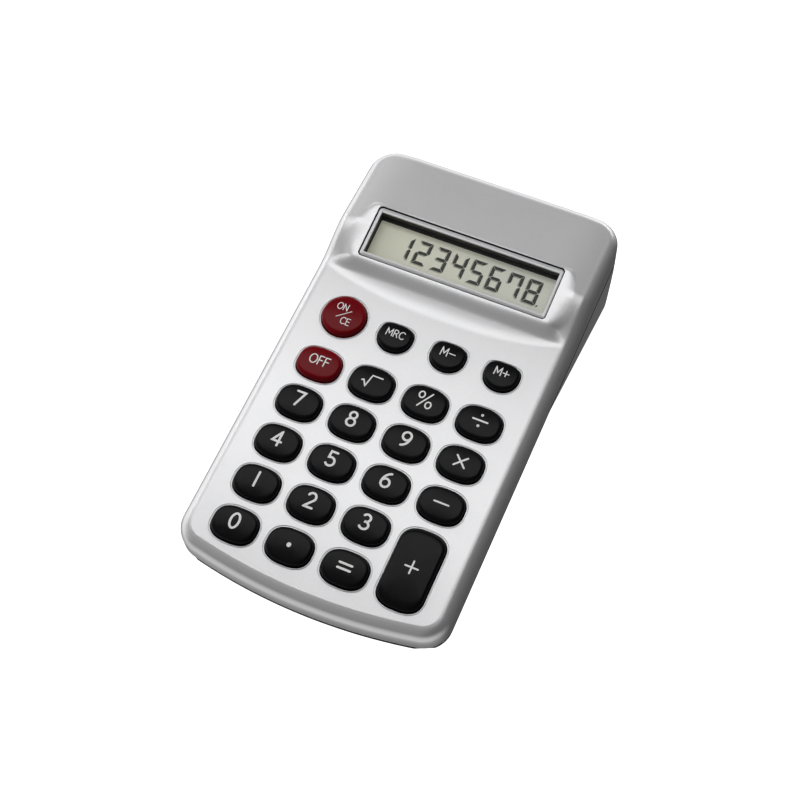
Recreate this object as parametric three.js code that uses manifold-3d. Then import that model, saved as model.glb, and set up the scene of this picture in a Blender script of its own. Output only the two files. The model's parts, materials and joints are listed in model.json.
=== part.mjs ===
// Pocket calculator with a raised display end, built as the separate pieces that come apart on a bench.
//
// Design frame (millimetres): X across the keys, Y from the keypad end to the display end, Z out of the
// keypad face, which is the plane z = 0. The whole case is tipped at the end of the file so that its four
// rubber feet stand flat on the plane z = 0 of the part's own frame.

import * as THREE from 'three';
import { mergeVertices } from 'three/addons/utils/BufferGeometryUtils.js';
import Module from 'manifold-3d';

const wasm = await Module();
wasm.setup();

// ---------------------------------------------------------------- driving dimensions

const HALF_WIDTH = 31.6;
const KEYPAD_END_Y = -57.4;
const DISPLAY_END_Y = 56.7;
const WALL = 1.6;
const GAP = 0.3;
const EDGE_RADIUS = 2.75; // rounded rim of the front shell
const BOW_RADIUS = 130; // the keypad end is slightly bowed
const KEYPAD_CORNER = 6.5;
const DISPLAY_CORNER = 6.5;

const PARTING_Z = -6.8;
const KEYPAD_BASE_Z = -8.6;
const WEDGE_START_Y = 8;
const WEDGE_END_Y = 49;
const WEDGE_END_Z = -23;
const BASE_EDGE = 1.6; // rounded lower rim of the rear shell

const HUMP_START_Y = 16.5;
const HUMP_CREST_Y = 35;
const HUMP_HEIGHT = 3.6;
const HUMP_FALL = 0.075; // fall of the face per mm behind the crest

const WINDOW_Y = 31.85;
const WINDOW_FRONT_Y = 25.3;
const WINDOW_FRONT_Z = 1.8;
const WINDOW_SLOPE = 0.111;
const WINDOW_WIDTH = 46.3;
const WINDOW_DEPTH = 13.2;
const BEZEL_BORDER = 0.9;
const SCOOP_SPREAD = 4.8; // how far the side scoops widen per mm of height

const COLUMN_PITCH = 13;
const ROW_PITCH = 10.643;
const ON_ROW_Y = 8.8;
const OFF_ROW_Y = -4.25;
const KEY_SEGMENTS = 16;
const KEY_PROUD = 1.55;
const KEY_EDGE = 0.7; // softened top edge
const KEY_CLEARANCE = 0.27;
const KEY_TRAVEL = 0.8;
const FLANGE_THICKNESS = 0.5;
const FLANGE_REACH = 0.6;
const STEM_RADIUS = 2.2;

const BOARD_TOP_Z = -4.9;
const BOARD_THICKNESS = 0.8;
const BOARD_END_Y = 42;
const MAT_THICKNESS = 0.6;
const MAT_END_Y = 15.6;

const CELL_RADIUS = 5.25; // AAA cell
const CELL_LENGTH = 44.5;
const CELL_Y = 45.5;
const CELL_Z = -12.2;

const DOOR_HALF_WIDTH = 20;
const DOOR_START_Y = 33;
const DOOR_THICKNESS = 1.5;
const DOOR_RAIL_TOP = 2.6;
const DOOR_RAIL_REACH = 1.5;

const FOOT_RADIUS = 3.5;
const FOOT_DROP = 1.4; // how far a foot's centre stands out of the case
const FRONT_FEET = { x: 18, y: -50 };
const REAR_FEET = { x: 26, y: 44 };

const CASE_SCREWS = [
  [-27.2, -47.5],
  [27.2, -47.5],
  [-27.2, 19.5],
  [27.2, 19.5],
];
const BOARD_SCREW_HEAD = 1.5;
const BOARD_SCREWS = [
  [-13, -52.4],
  [13, -52.4],
  [-13, -9.6],
  [13, -9.6],
];

// ---------------------------------------------------------------- profiles along the case

const WEDGE_SLOPE = (KEYPAD_BASE_Z - WEDGE_END_Z) / (WEDGE_END_Y - WEDGE_START_Y);
const WEDGE_ANGLE = Math.atan(WEDGE_SLOPE);
const WINDOW_ANGLE = Math.atan(WINDOW_SLOPE);

// Height of the front face at y: flat keypad, a soft rise, then a gentle fall to the display end.
function faceHeight(y) {
  const rise = THREE.MathUtils.smoothstep(y, HUMP_START_Y, HUMP_CREST_Y) * HUMP_HEIGHT;
  return rise - HUMP_FALL * Math.max(0, y - HUMP_CREST_Y);
}

// Height of the tilted plane that the window frame lies in.
function windowPlane(y) {
  return WINDOW_FRONT_Z + (y - WINDOW_FRONT_Y) * WINDOW_SLOPE;
}

// Height of the ceiling inside the front shell.
function ceilingHeight(y) {
  return Math.min(faceHeight(y), Math.max(0, windowPlane(y))) - WALL;
}

// Height of the underside: flat below the keypad, then a wedge that deepens towards the display end.
function baseHeight(y) {
  const along = THREE.MathUtils.clamp(y, WEDGE_START_Y, WEDGE_END_Y) - WEDGE_START_Y;
  return KEYPAD_BASE_Z - along * WEDGE_SLOPE;
}

// ---------------------------------------------------------------- outlines, lofts and solids

// A closed ring symmetric about x = 0, from its right half listed from the keypad end to the display end.
// Both ends of the half lie on x = 0.
function mirrorRing(rightHalf) {
  const leftHalf = rightHalf.slice(1, -1).reverse().map(([x, y]) => [-x, y]);
  return [...rightHalf, ...leftHalf];
}

function arcPoints(centreX, centreY, radius, fromAngle, toAngle, steps) {
  return Array.from({ length: steps + 1 }, (_, i) => {
    const angle = fromAngle + ((toAngle - fromAngle) * i) / steps;
    return [centreX + radius * Math.cos(angle), centreY + radius * Math.sin(angle)];
  });
}

// Plan of the case, drawn in by `inset` all round, with its display end at `endY`.
function casePlan(inset, endY = DISPLAY_END_Y) {
  const bowCentreY = KEYPAD_END_Y + BOW_RADIUS;
  const cornerX = HALF_WIDTH - KEYPAD_CORNER;
  const cornerY = bowCentreY - Math.sqrt((BOW_RADIUS - KEYPAD_CORNER) ** 2 - cornerX ** 2);
  const bowEnd = Math.atan2(cornerY - bowCentreY, cornerX);
  const bow = arcPoints(0, bowCentreY, BOW_RADIUS - inset, -Math.PI / 2, bowEnd, 5);
  const keypadCorner = arcPoints(cornerX, cornerY, KEYPAD_CORNER - inset, bowEnd, 0, 5);
  const endCornerX = HALF_WIDTH - DISPLAY_CORNER;
  const endCornerY = endY - DISPLAY_CORNER;
  const sideY = [WEDGE_START_Y, 16, 19, 22, 25, 28, 31, 34, 37, 40].filter((y) => y < endCornerY - 1);
  const side = sideY.map((y) => [HALF_WIDTH - inset, y]);
  const displayCorner = arcPoints(endCornerX, endCornerY, DISPLAY_CORNER - inset, 0, Math.PI / 2, 5);
  return mirrorRing([...bow.slice(0, -1), ...keypadCorner, ...side, ...displayCorner, [0, endY - inset]]);
}

// A ring lifted to height `z`, a number or a function of y.
function level(ring, z) {
  return ring.map(([x, y]) => [x, y, typeof z === 'function' ? z(y) : z]);
}

// A closed skin through mirror rings of equal length, from the lowest to the highest, capped at both ends.
function loft(rings) {
  const count = rings[0].length;
  const half = count / 2;
  const position = rings.flat(2);
  const index = [];
  for (let r = 0; r < rings.length - 1; r += 1) {
    for (let i = 0; i < count; i += 1) {
      const a = r * count + i;
      const b = r * count + ((i + 1) % count);
      index.push(a, b, b + count, a, b + count, a + count);
    }
  }
  const top = (rings.length - 1) * count;
  for (let i = 0; i < half; i += 1) {
    const left = (count - i) % count;
    const nextLeft = count - i - 1;
    if (left !== i) {
      index.push(top + left, top + i, top + i + 1);
      index.push(left, i + 1, i);
    }
    if (nextLeft !== i + 1) {
      index.push(top + left, top + i + 1, top + nextLeft);
      index.push(left, nextLeft, i + 1);
    }
  }
  const geometry = new THREE.BufferGeometry();
  geometry.setAttribute('position', new THREE.Float32BufferAttribute(position, 3));
  geometry.setIndex(index);
  return geometry;
}

// Turns a closed geometry into a solid that can be joined and cut.
function solidOf(geometry) {
  const bare = geometry.clone();
  bare.deleteAttribute('normal');
  bare.deleteAttribute('uv');
  const welded = mergeVertices(bare, 1e-5);
  const corners = [];
  const order = welded.index.array;
  for (let i = 0; i < order.length; i += 3) {
    const [a, b, c] = [order[i], order[i + 1], order[i + 2]];
    if (a !== b && b !== c && c !== a) {
      corners.push(a, b, c);
    }
  }
  return new wasm.Manifold(
    new wasm.Mesh({
      numProp: 3,
      vertProperties: new Float32Array(welded.attributes.position.array),
      triVerts: new Uint32Array(corners),
    }),
  );
}

function geometryOf(solid) {
  const mesh = solid.getMesh();
  const geometry = new THREE.BufferGeometry();
  geometry.setAttribute('position', new THREE.Float32BufferAttribute(mesh.vertProperties, 3));
  geometry.setIndex(Array.from(mesh.triVerts));
  geometry.computeVertexNormals();
  return geometry;
}

// A box between two corners.
function boxGeometry(x0, y0, z0, x1, y1, z1) {
  const geometry = new THREE.BoxGeometry(x1 - x0, y1 - y0, z1 - z0);
  return geometry.translate((x0 + x1) / 2, (y0 + y1) / 2, (z0 + z1) / 2);
}

function box(x0, y0, z0, x1, y1, z1) {
  return solidOf(boxGeometry(x0, y0, z0, x1, y1, z1));
}

// An upright round rod between two heights.
function rod(x, y, radius, z0, z1, segments = 12) {
  const geometry = new THREE.CylinderGeometry(radius, radius, z1 - z0, segments);
  geometry.rotateX(Math.PI / 2);
  return solidOf(geometry.translate(x, y, (z0 + z1) / 2));
}

// ---------------------------------------------------------------- frames inside the case

const caseGroup = new THREE.Group();

// Frame of the window: its z = 0 is the plane that the bezel lies flush with.
const windowGroup = new THREE.Group();
windowGroup.position.set(0, WINDOW_Y, windowPlane(WINDOW_Y));
windowGroup.rotation.x = WINDOW_ANGLE;
windowGroup.updateMatrix();
caseGroup.add(windowGroup);

// Frame of the sloping underside: y runs down the slope, z = 0 is the outer surface.
const slopeFrame = new THREE.Object3D();
slopeFrame.position.set(0, WEDGE_START_Y, KEYPAD_BASE_Z);
slopeFrame.rotation.x = -WEDGE_ANGLE;
slopeFrame.updateMatrix();

function slopeBox(x0, y0, z0, x1, y1, z1) {
  return solidOf(boxGeometry(x0, y0, z0, x1, y1, z1).applyMatrix4(slopeFrame.matrix));
}

function addMesh(name, geometry, colour, roughness, metalness, parent = caseGroup) {
  const material = new THREE.MeshStandardMaterial({ color: colour, roughness, metalness });
  const mesh = new THREE.Mesh(geometry, material);
  mesh.name = name;
  parent.add(mesh);
  return mesh;
}

const SILVER = 0xc9cacc;
const BLACK = 0x17181a;
const RED = 0x8c1a20;
const STEEL = 0xb8bbc0;

// ---------------------------------------------------------------- keys

// Outline of a key hole: a superellipse whose upper and lower halves may differ, and which may be
// lengthened by a straight stretch. `inset` draws it in, and a negative inset lets it out.
const KEY_SHAPES = {
  wide: { a: 5.35, upper: 4.25, lower: 4.25, upperPower: 2.6, lowerPower: 2.6, stretch: 0 },
  round: { a: 5.4, upper: 5.4, lower: 5.4, upperPower: 2, lowerPower: 2, stretch: 0 },
  memory: { a: 4.25, upper: 3.3, lower: 4.1, upperPower: 3.2, lowerPower: 2.1, stretch: 0 },
  tall: { a: 5.35, upper: 4.25, lower: 4.25, upperPower: 2.6, lowerPower: 2.6, stretch: ROW_PITCH / 2 },
};

function keyRing(shape, inset) {
  return Array.from({ length: KEY_SEGMENTS }, (_, i) => {
    const angle = -Math.PI / 2 + (2 * Math.PI * i) / KEY_SEGMENTS;
    const across = Math.abs(Math.cos(angle)) < 1e-9 ? 0 : Math.cos(angle);
    const along = Math.abs(Math.sin(angle)) < 1e-9 ? 0 : Math.sin(angle);
    const power = along > 0 ? shape.upperPower : shape.lowerPower;
    const reach = (along > 0 ? shape.upper : shape.lower) - inset;
    return [
      (shape.a - inset) * Math.sign(across) * Math.abs(across) ** (2 / power),
      Math.sign(along) * (reach * Math.abs(along) ** (2 / power) + shape.stretch),
    ];
  });
}

function circleRing(radius) {
  return keyRing({ a: radius, upper: radius, lower: radius, upperPower: 2, lowerPower: 2, stretch: 0 }, 0);
}

// One moulded key: round stem, captive flange below the face, straight skirt and a softly domed top.
const FLANGE_TOP = -WALL - GAP;
const FLANGE_BOTTOM = FLANGE_TOP - FLANGE_THICKNESS;
const STEM_BOTTOM = BOARD_TOP_Z + GAP + KEY_TRAVEL;

function keyGeometry(shape) {
  return loft([
    level(circleRing(STEM_RADIUS), STEM_BOTTOM),
    level(circleRing(STEM_RADIUS), FLANGE_BOTTOM),
    level(keyRing(shape, -FLANGE_REACH), FLANGE_BOTTOM),
    level(keyRing(shape, -FLANGE_REACH), FLANGE_TOP),
    level(keyRing(shape, KEY_CLEARANCE), FLANGE_TOP),
    level(keyRing(shape, KEY_CLEARANCE), KEY_PROUD - KEY_EDGE),
    level(keyRing(shape, KEY_CLEARANCE + KEY_EDGE), KEY_PROUD),
  ]);
}

function columnX(column) {
  return (column - 1.5) * COLUMN_PITCH;
}

// Rows 0 and 1 hold the power and memory keys; rows 2 to 5 are the regular grid.
function rowY(row) {
  return row === 0 ? ON_ROW_Y : OFF_ROW_Y - (row - 1) * ROW_PITCH;
}

const KEYS = [
  ['key_on_clear', 0, 0, 'round', RED],
  ['key_memory_recall', 1, 0, 'memory', BLACK],
  ['key_memory_minus', 2, 0, 'memory', BLACK],
  ['key_memory_plus', 3, 0, 'memory', BLACK],
  ['key_off', 0, 1, 'wide', RED],
  ['key_square_root', 1, 1, 'wide', BLACK],
  ['key_percent', 2, 1, 'wide', BLACK],
  ['key_divide', 3, 1, 'wide', BLACK],
  ['key_7', 0, 2, 'wide', BLACK],
  ['key_8', 1, 2, 'wide', BLACK],
  ['key_9', 2, 2, 'wide', BLACK],
  ['key_multiply', 3, 2, 'wide', BLACK],
  ['key_4', 0, 3, 'wide', BLACK],
  ['key_5', 1, 3, 'wide', BLACK],
  ['key_6', 2, 3, 'wide', BLACK],
  ['key_minus', 3, 3, 'wide', BLACK],
  ['key_1', 0, 4, 'wide', BLACK],
  ['key_2', 1, 4, 'wide', BLACK],
  ['key_3', 2, 4, 'wide', BLACK],
  ['key_0', 0, 5, 'wide', BLACK],
  ['key_point', 1, 5, 'wide', BLACK],
  ['key_equals', 2, 5, 'wide', BLACK],
  ['key_plus', 3, 4.5, 'tall', BLACK],
].map(([name, column, row, shape, colour]) => {
  const lift = shape === 'round' ? 0.45 : 0; // the round key sits a little above its row
  return { name, x: columnX(column), y: rowY(row) + lift, shape: KEY_SHAPES[shape], colour };
});

for (const key of KEYS) {
  const mesh = addMesh(key.name, keyGeometry(key.shape), key.colour, 0.42, 0);
  mesh.position.set(key.x, key.y, 0);
}

// ---------------------------------------------------------------- front shell

function frontShell() {
  const bottom = PARTING_Z + GAP / 2;
  const rim = [0, 30, 60, 90].map((degrees) => {
    const angle = THREE.MathUtils.degToRad(degrees);
    const inset = EDGE_RADIUS * (1 - Math.cos(angle));
    return level(casePlan(inset), (y) => faceHeight(y) - EDGE_RADIUS * (1 - Math.sin(angle)));
  });
  const outside = solidOf(loft([level(casePlan(0), bottom), ...rim]));
  const inside = solidOf(loft([level(casePlan(WALL), bottom - 1), level(casePlan(WALL), ceilingHeight)]));
  let shell = outside.subtract(inside);

  for (const [x, y] of CASE_SCREWS) {
    const boss = rod(x, y, 1.9, PARTING_Z + 1.1, faceHeight(y) - WALL / 2);
    shell = shell.add(boss).subtract(rod(x, y, 1.15, PARTING_Z, -2.1));
  }
  for (const [x, y] of BOARD_SCREWS) {
    const post = rod(x, y, 1.7, BOARD_TOP_Z + GAP, -WALL / 2);
    shell = shell.add(post).subtract(rod(x, y, 0.9, BOARD_TOP_Z, -WALL - GAP));
  }
  for (const key of KEYS) {
    const hole = loft([level(keyRing(key.shape, 0), -3), level(keyRing(key.shape, 0), 1)]);
    shell = shell.subtract(solidOf(hole.translate(key.x, key.y, 0)));
  }
  shell = shell.subtract(windowScoop());
  const halfWidth = WINDOW_WIDTH / 2 + GAP;
  const halfDepth = WINDOW_DEPTH / 2 + GAP;
  const opening = boxGeometry(-halfWidth, -halfDepth, -5, halfWidth, halfDepth, 5);
  return shell.subtract(solidOf(opening.applyMatrix4(windowGroup.matrix)));
}

// The dished landing around the window: its floor is the window plane, and at both ends it rises in a
// crescent to the higher cheeks of the case.
function windowScoop() {
  const halfWidth = WINDOW_WIDTH / 2 + GAP;
  const halfDepth = WINDOW_DEPTH / 2 + GAP;
  const rings = [0, 1.5].map((height) => {
    const reach = halfWidth + SCOOP_SPREAD * height;
    const end = Array.from({ length: 9 }, (_, i) => {
      const along = -1 + i / 4;
      return [halfWidth + (reach - halfWidth) * (1 - along ** 2), halfDepth * along];
    });
    return level(mirrorRing([[0, -halfDepth], ...end, [0, halfDepth]]), height);
  });
  return solidOf(loft(rings).applyMatrix4(windowGroup.matrix));
}

addMesh('front_shell', geometryOf(frontShell()), SILVER, 0.38, 0.55);

// ---------------------------------------------------------------- rear shell and battery door

// Outer body of the rear half: straight walls down to the rounded lower rim, with the end wall leaning in.
function rearBody() {
  const shoulder = (y) => 0.45 * PARTING_Z + 0.55 * (baseHeight(y) + BASE_EDGE);
  return solidOf(
    loft([
      level(casePlan(BASE_EDGE, 50.6), baseHeight),
      level(casePlan(BASE_EDGE * 0.3, 52.4), (y) => baseHeight(y) + BASE_EDGE * 0.3),
      level(casePlan(0, 53.6), (y) => baseHeight(y) + BASE_EDGE),
      level(casePlan(0, 55.9), shoulder),
      level(casePlan(0), PARTING_Z - GAP / 2),
    ]),
  );
}

function rearCavity() {
  const floor = (y) => baseHeight(y) + DOOR_THICKNESS;
  return solidOf(
    loft([
      level(casePlan(WALL + 0.2, 51.8), floor),
      level(casePlan(WALL, 55.4), (y) => 0.45 * PARTING_Z + 0.55 * floor(y)),
      level(casePlan(WALL), PARTING_Z + 1),
    ]),
  );
}

// Locating lip inside the parting line, which keeps the two shells in register and closes the joint.
function registerLip() {
  const ring = (inset, z) => level(casePlan(inset), z);
  const inner = solidOf(loft([ring(WALL + 1.1, PARTING_Z - 2), ring(WALL + 1.1, PARTING_Z + 2)]));
  const seat = solidOf(loft([ring(WALL / 2, PARTING_Z - 1.2), ring(WALL / 2, PARTING_Z - GAP / 2 - 0.2)]));
  let lip = registerRoom().add(seat).subtract(inner);
  for (const [x, y] of BOARD_SCREWS) {
    lip = lip.subtract(rod(x, y, BOARD_SCREW_HEAD + GAP, PARTING_Z - 1, 0));
  }
  return lip;
}

const SLOPE_START = (DOOR_START_Y - WEDGE_START_Y) / Math.cos(WEDGE_ANGLE);
const SLOPE_FAR = 70; // well past the display end

// The volume that the door plate and its rails fill, let out by `play`.
function doorVolume(play) {
  const plate = DOOR_HALF_WIDTH + play;
  const rail = DOOR_HALF_WIDTH + DOOR_RAIL_REACH + play;
  const start = SLOPE_START + GAP - play;
  const under = DOOR_THICKNESS + GAP - play;
  const top = DOOR_RAIL_TOP + play;
  return { plate, rail, start, under, top };
}

function doorOpening() {
  const { plate, rail, start, under, top } = doorVolume(GAP);
  const mouth = slopeBox(-plate, start, -5, plate, SLOPE_FAR, under + 0.1);
  const channel = slopeBox(-rail, start, under, rail, SLOPE_FAR, top);
  return mouth.add(channel);
}

function batteryDoor() {
  const { plate, rail, start, under, top } = doorVolume(0);
  const endBlock = 44;
  const body = slopeBox(-plate, start, -5, plate, SLOPE_FAR, DOOR_THICKNESS);
  const end = slopeBox(-rail, endBlock, under, rail, SLOPE_FAR, top);
  const endRoot = slopeBox(-plate, endBlock, 1, plate, SLOPE_FAR, top);
  let door = body.add(end).add(endRoot);
  for (const side of [-1, 1]) {
    const inner = side * (DOOR_HALF_WIDTH - 1.6);
    const root = [Math.min(inner, side * plate), Math.max(inner, side * plate)];
    const lip = [Math.min(inner, side * rail), Math.max(inner, side * rail)];
    door = door.add(slopeBox(root[0], start, 1, root[1], SLOPE_FAR, top));
    door = door.add(slopeBox(lip[0], start, under, lip[1], SLOPE_FAR, top));
  }
  return door.intersect(rearBody());
}

const CRADLE_TOP = -8.6;
const POSITIVE_WALL = [23.25, 24.45];
const NEGATIVE_WALL = [-27.1, -25.9];

// Walls that hold the cell and its two contacts. The partition bridges over the door.
function batteryCradle() {
  const frontY = CELL_Y - CELL_RADIUS - 2;
  const deep = WEDGE_END_Z;
  const positive = box(POSITIVE_WALL[0], frontY, deep, POSITIVE_WALL[1], 51, CRADLE_TOP);
  const negative = box(NEGATIVE_WALL[0], frontY, deep, NEGATIVE_WALL[1], 51, CRADLE_TOP);
  const partition = box(NEGATIVE_WALL[0], frontY, deep, POSITIVE_WALL[1], frontY + 1.2, CRADLE_TOP);
  return positive.add(negative).add(partition);
}

function rearShell() {
  const body = rearBody();
  let shell = body.subtract(rearCavity()).add(registerLip());
  let inside = batteryCradle();
  for (const [x, y] of CASE_SCREWS) {
    inside = inside.add(rod(x, y, 3, WEDGE_END_Z, PARTING_Z + 0.8));
  }
  shell = shell.add(inside.intersect(body.add(registerRoom())));
  for (const [x, y] of CASE_SCREWS) {
    const seat = screwSeat(y);
    shell = shell.subtract(rod(x, y, 2.1, WEDGE_END_Z, seat)).subtract(rod(x, y, 1.15, seat - 1, 0));
  }
  return shell.subtract(doorOpening());
}

// Room above the parting line that the lip and the screw pillars of the rear shell may use.
function registerRoom() {
  const plan = casePlan(WALL + GAP);
  return solidOf(loft([level(plan, PARTING_Z - 0.6), level(plan, PARTING_Z + 0.8)]));
}

// Height at which the head of a case screw bears.
function screwSeat(y) {
  return Math.min(KEYPAD_BASE_Z + 1.6, baseHeight(y) + 2.1);
}

addMesh('rear_shell', geometryOf(rearShell()), SILVER, 0.4, 0.5);
addMesh('battery_door', geometryOf(batteryDoor()), SILVER, 0.42, 0.5);

// ---------------------------------------------------------------- window, lens and display

const bezelOuter = [WINDOW_WIDTH / 2, WINDOW_DEPTH / 2];
const bezelInner = bezelOuter.map((half) => half - BEZEL_BORDER);
const bezelBottom = -WALL;
const bezel = box(-bezelOuter[0], -bezelOuter[1], bezelBottom, bezelOuter[0], bezelOuter[1], 0).subtract(
  box(-bezelInner[0], -bezelInner[1], bezelBottom - 1, bezelInner[0], bezelInner[1], 1),
);
addMesh('display_bezel', geometryOf(bezel), 0xd2d3d5, 0.3, 0.7, windowGroup);

const LENS_TOP = bezelBottom - GAP - 0.05;
const LENS_THICKNESS = 0.8;
const lens = boxGeometry(-24.6, -7.8, LENS_TOP - LENS_THICKNESS, 24.6, 7.8, LENS_TOP);
addMesh('display_lens', lens, 0xdfe6e6, 0.06, 0, windowGroup);

const GLASS_TOP = LENS_TOP - LENS_THICKNESS - GAP;
const GLASS_THICKNESS = 1.5;
const glass = boxGeometry(-25, -7.6, GLASS_TOP - GLASS_THICKNESS, 25, 7.6, GLASS_TOP);
addMesh('lcd_glass', glass, 0xb9bca6, 0.25, 0, windowGroup);

const REFLECTOR_TOP = GLASS_TOP - GLASS_THICKNESS - GAP;
const reflector = boxGeometry(-24, -4.6, REFLECTOR_TOP - 0.2, 24, 7, REFLECTOR_TOP);
addMesh('lcd_reflector', reflector, 0xc4c6c2, 0.3, 0.6, windowGroup);

const HOLDER_BOTTOM = GLASS_TOP - GLASS_THICKNESS - GAP;
const holder = box(-27.4, -9.6, HOLDER_BOTTOM, 27.4, 9.2, GLASS_TOP).subtract(
  box(-25.3, -7.9, HOLDER_BOTTOM - 1, 25.3, 7.9, GLASS_TOP + 1),
);
addMesh('lcd_holder', geometryOf(holder), 0xe8e8e4, 0.5, 0, windowGroup);

// Elastomer strip that joins the display's front ledge to the board below it.
const ZEBRA_Y = 25.4;
const zebraTop = windowPlane(ZEBRA_Y) + GLASS_TOP - GLASS_THICKNESS - 0.5;
const zebra = boxGeometry(-22, ZEBRA_Y - 0.9, BOARD_TOP_Z + GAP, 22, ZEBRA_Y + 0.9, zebraTop);
addMesh('zebra_connector', zebra, 0x9aa0a8, 0.6, 0);

// ---------------------------------------------------------------- key mat and circuit board

function keyMat() {
  const bottom = BOARD_TOP_Z + GAP;
  const top = bottom + MAT_THICKNESS;
  const collarTop = FLANGE_BOTTOM - KEY_TRAVEL - GAP;
  let mat = solidOf(loft([level(casePlan(4.2, MAT_END_Y + 4.2), bottom), level(casePlan(4.2, MAT_END_Y + 4.2), top)]));
  for (const key of KEYS) {
    mat = mat.add(rod(key.x, key.y, STEM_RADIUS + 1.2, top - 0.2, collarTop, 8));
    mat = mat.subtract(rod(key.x, key.y, STEM_RADIUS + 0.5, bottom - 1, collarTop + 1, 8));
  }
  for (const [x, y] of [...BOARD_SCREWS, ...CASE_SCREWS]) {
    mat = mat.subtract(rod(x, y, 2.4, bottom - 1, top + 1));
  }
  return mat;
}

addMesh('key_mat', geometryOf(keyMat()), 0xb9bcc0, 0.7, 0);

function circuitBoard() {
  const bottom = BOARD_TOP_Z - BOARD_THICKNESS;
  const plan = casePlan(3.4, BOARD_END_Y + 3.4);
  let board = solidOf(loft([level(plan, bottom), level(plan, BOARD_TOP_Z)]));
  for (const [x, y] of BOARD_SCREWS) {
    board = board.subtract(rod(x, y, 0.95, bottom - 1, BOARD_TOP_Z + 1));
  }
  for (const [x, y] of CASE_SCREWS) {
    board = board.subtract(rod(x, y, 2.3, bottom - 1, BOARD_TOP_Z + 1));
  }
  return board;
}

addMesh('circuit_board', geometryOf(circuitBoard()), 0x2f6b3c, 0.5, 0);

const UNDER_BOARD_Z = BOARD_TOP_Z - BOARD_THICKNESS - GAP;

// Black resin drop that covers the bonded chip.
const chipCover = new THREE.LatheGeometry(
  [
    new THREE.Vector2(0, 0),
    new THREE.Vector2(4, 0),
    new THREE.Vector2(3.6, 0.6),
    new THREE.Vector2(2.2, 1.2),
    new THREE.Vector2(0, 1.4),
  ],
  16,
).rotateX(-Math.PI / 2);
addMesh('chip_cover', geometryOf(solidOf(chipCover)), 0x101113, 0.35, 0).position.set(0, 20, UNDER_BOARD_Z);

const resistor = boxGeometry(9, 19, UNDER_BOARD_Z - 0.6, 12.2, 20.6, UNDER_BOARD_Z);
addMesh('chip_resistor', resistor, 0x1b1b1d, 0.5, 0);
const capacitor = boxGeometry(-12.5, 18.6, UNDER_BOARD_Z - 1.1, -9, 21, UNDER_BOARD_Z);
addMesh('chip_capacitor', capacitor, 0xb08a55, 0.5, 0);

// ---------------------------------------------------------------- battery, contacts and wires

const nub = { radius: 1.9, height: 0.9 };
const canLength = CELL_LENGTH - nub.height;
const cellProfile = [
  [0, 0],
  [CELL_RADIUS - 0.4, 0],
  [CELL_RADIUS, 0.4],
  [CELL_RADIUS, canLength - 0.4],
  [CELL_RADIUS - 0.4, canLength],
  [nub.radius, canLength],
  [nub.radius, CELL_LENGTH],
  [0, CELL_LENGTH],
].map(([r, along]) => new THREE.Vector2(r, along));
const cell = new THREE.LatheGeometry(cellProfile, 24).rotateZ(-Math.PI / 2);
const cellMesh = addMesh('battery_cell', geometryOf(solidOf(cell)), 0x2d5a8c, 0.35, 0.4);
cellMesh.position.set(-CELL_LENGTH / 2, CELL_Y, CELL_Z);

// Flat spring-steel plates standing in the cradle, one dimpled and one carrying a conical coil.
const PLATE_HALF = 4.2;
const PLATE_TOP = CELL_Z + 4.6;

function contactPlate(x0, x1) {
  return box(x0, CELL_Y - PLATE_HALF, CELL_Z - PLATE_HALF, x1, CELL_Y + PLATE_HALF, PLATE_TOP);
}

const positiveX = CELL_LENGTH / 2 + GAP;
addMesh('contact_positive', geometryOf(contactPlate(positiveX, positiveX + 0.4)), STEEL, 0.25, 1);

class ConicalCoil extends THREE.Curve {
  getPoint(t, target = new THREE.Vector3()) {
    const angle = t * 2.5 * 2 * Math.PI;
    const radius = 3 - 1.3 * t;
    const along = -NEGATIVE_PLATE_X + 0.1;
    return target.set(-along + t * COIL_HEIGHT, CELL_Y + radius * Math.cos(angle), CELL_Z + radius * Math.sin(angle));
  }
}

const NEGATIVE_PLATE_X = -25.2;
const WIRE_RADIUS = 0.35;
const COIL_HEIGHT = -CELL_LENGTH / 2 - GAP - WIRE_RADIUS - NEGATIVE_PLATE_X;

function tube(curve, radius, sides, steps) {
  const section = new THREE.Shape(
    Array.from({ length: sides }, (_, i) => {
      const angle = (2 * Math.PI * i) / sides;
      return new THREE.Vector2(radius * Math.cos(angle), radius * Math.sin(angle));
    }),
  );
  return new THREE.ExtrudeGeometry(section, { steps, bevelEnabled: false, extrudePath: curve });
}

const coil = solidOf(tube(new ConicalCoil(), WIRE_RADIUS, 6, 36));
const negativePlate = contactPlate(NEGATIVE_PLATE_X - 0.4, NEGATIVE_PLATE_X);
addMesh('contact_negative', geometryOf(negativePlate.add(coil)), STEEL, 0.25, 1);

// Insulated wires from the top of each contact to the underside of the board.
function wireBetween(plateX) {
  const start = new THREE.Vector3(plateX, CELL_Y - 1, PLATE_TOP + GAP);
  const bend = new THREE.Vector3(plateX, CELL_Y - 2.5, PLATE_TOP + 1.5);
  const turn = new THREE.Vector3(plateX, BOARD_END_Y - 2.2, PLATE_TOP + 0.7);
  const end = new THREE.Vector3(plateX, BOARD_END_Y - 4.4, UNDER_BOARD_Z);
  return tube(new THREE.CatmullRomCurve3([start, bend, turn, end]), 0.45, 8, 14);
}

addMesh('wire_positive', geometryOf(solidOf(wireBetween(positiveX + 0.2))), 0xa82020, 0.5, 0);
addMesh('wire_negative', geometryOf(solidOf(wireBetween(NEGATIVE_PLATE_X - 0.2))), 0x151515, 0.5, 0);

// ---------------------------------------------------------------- screws and feet

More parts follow.
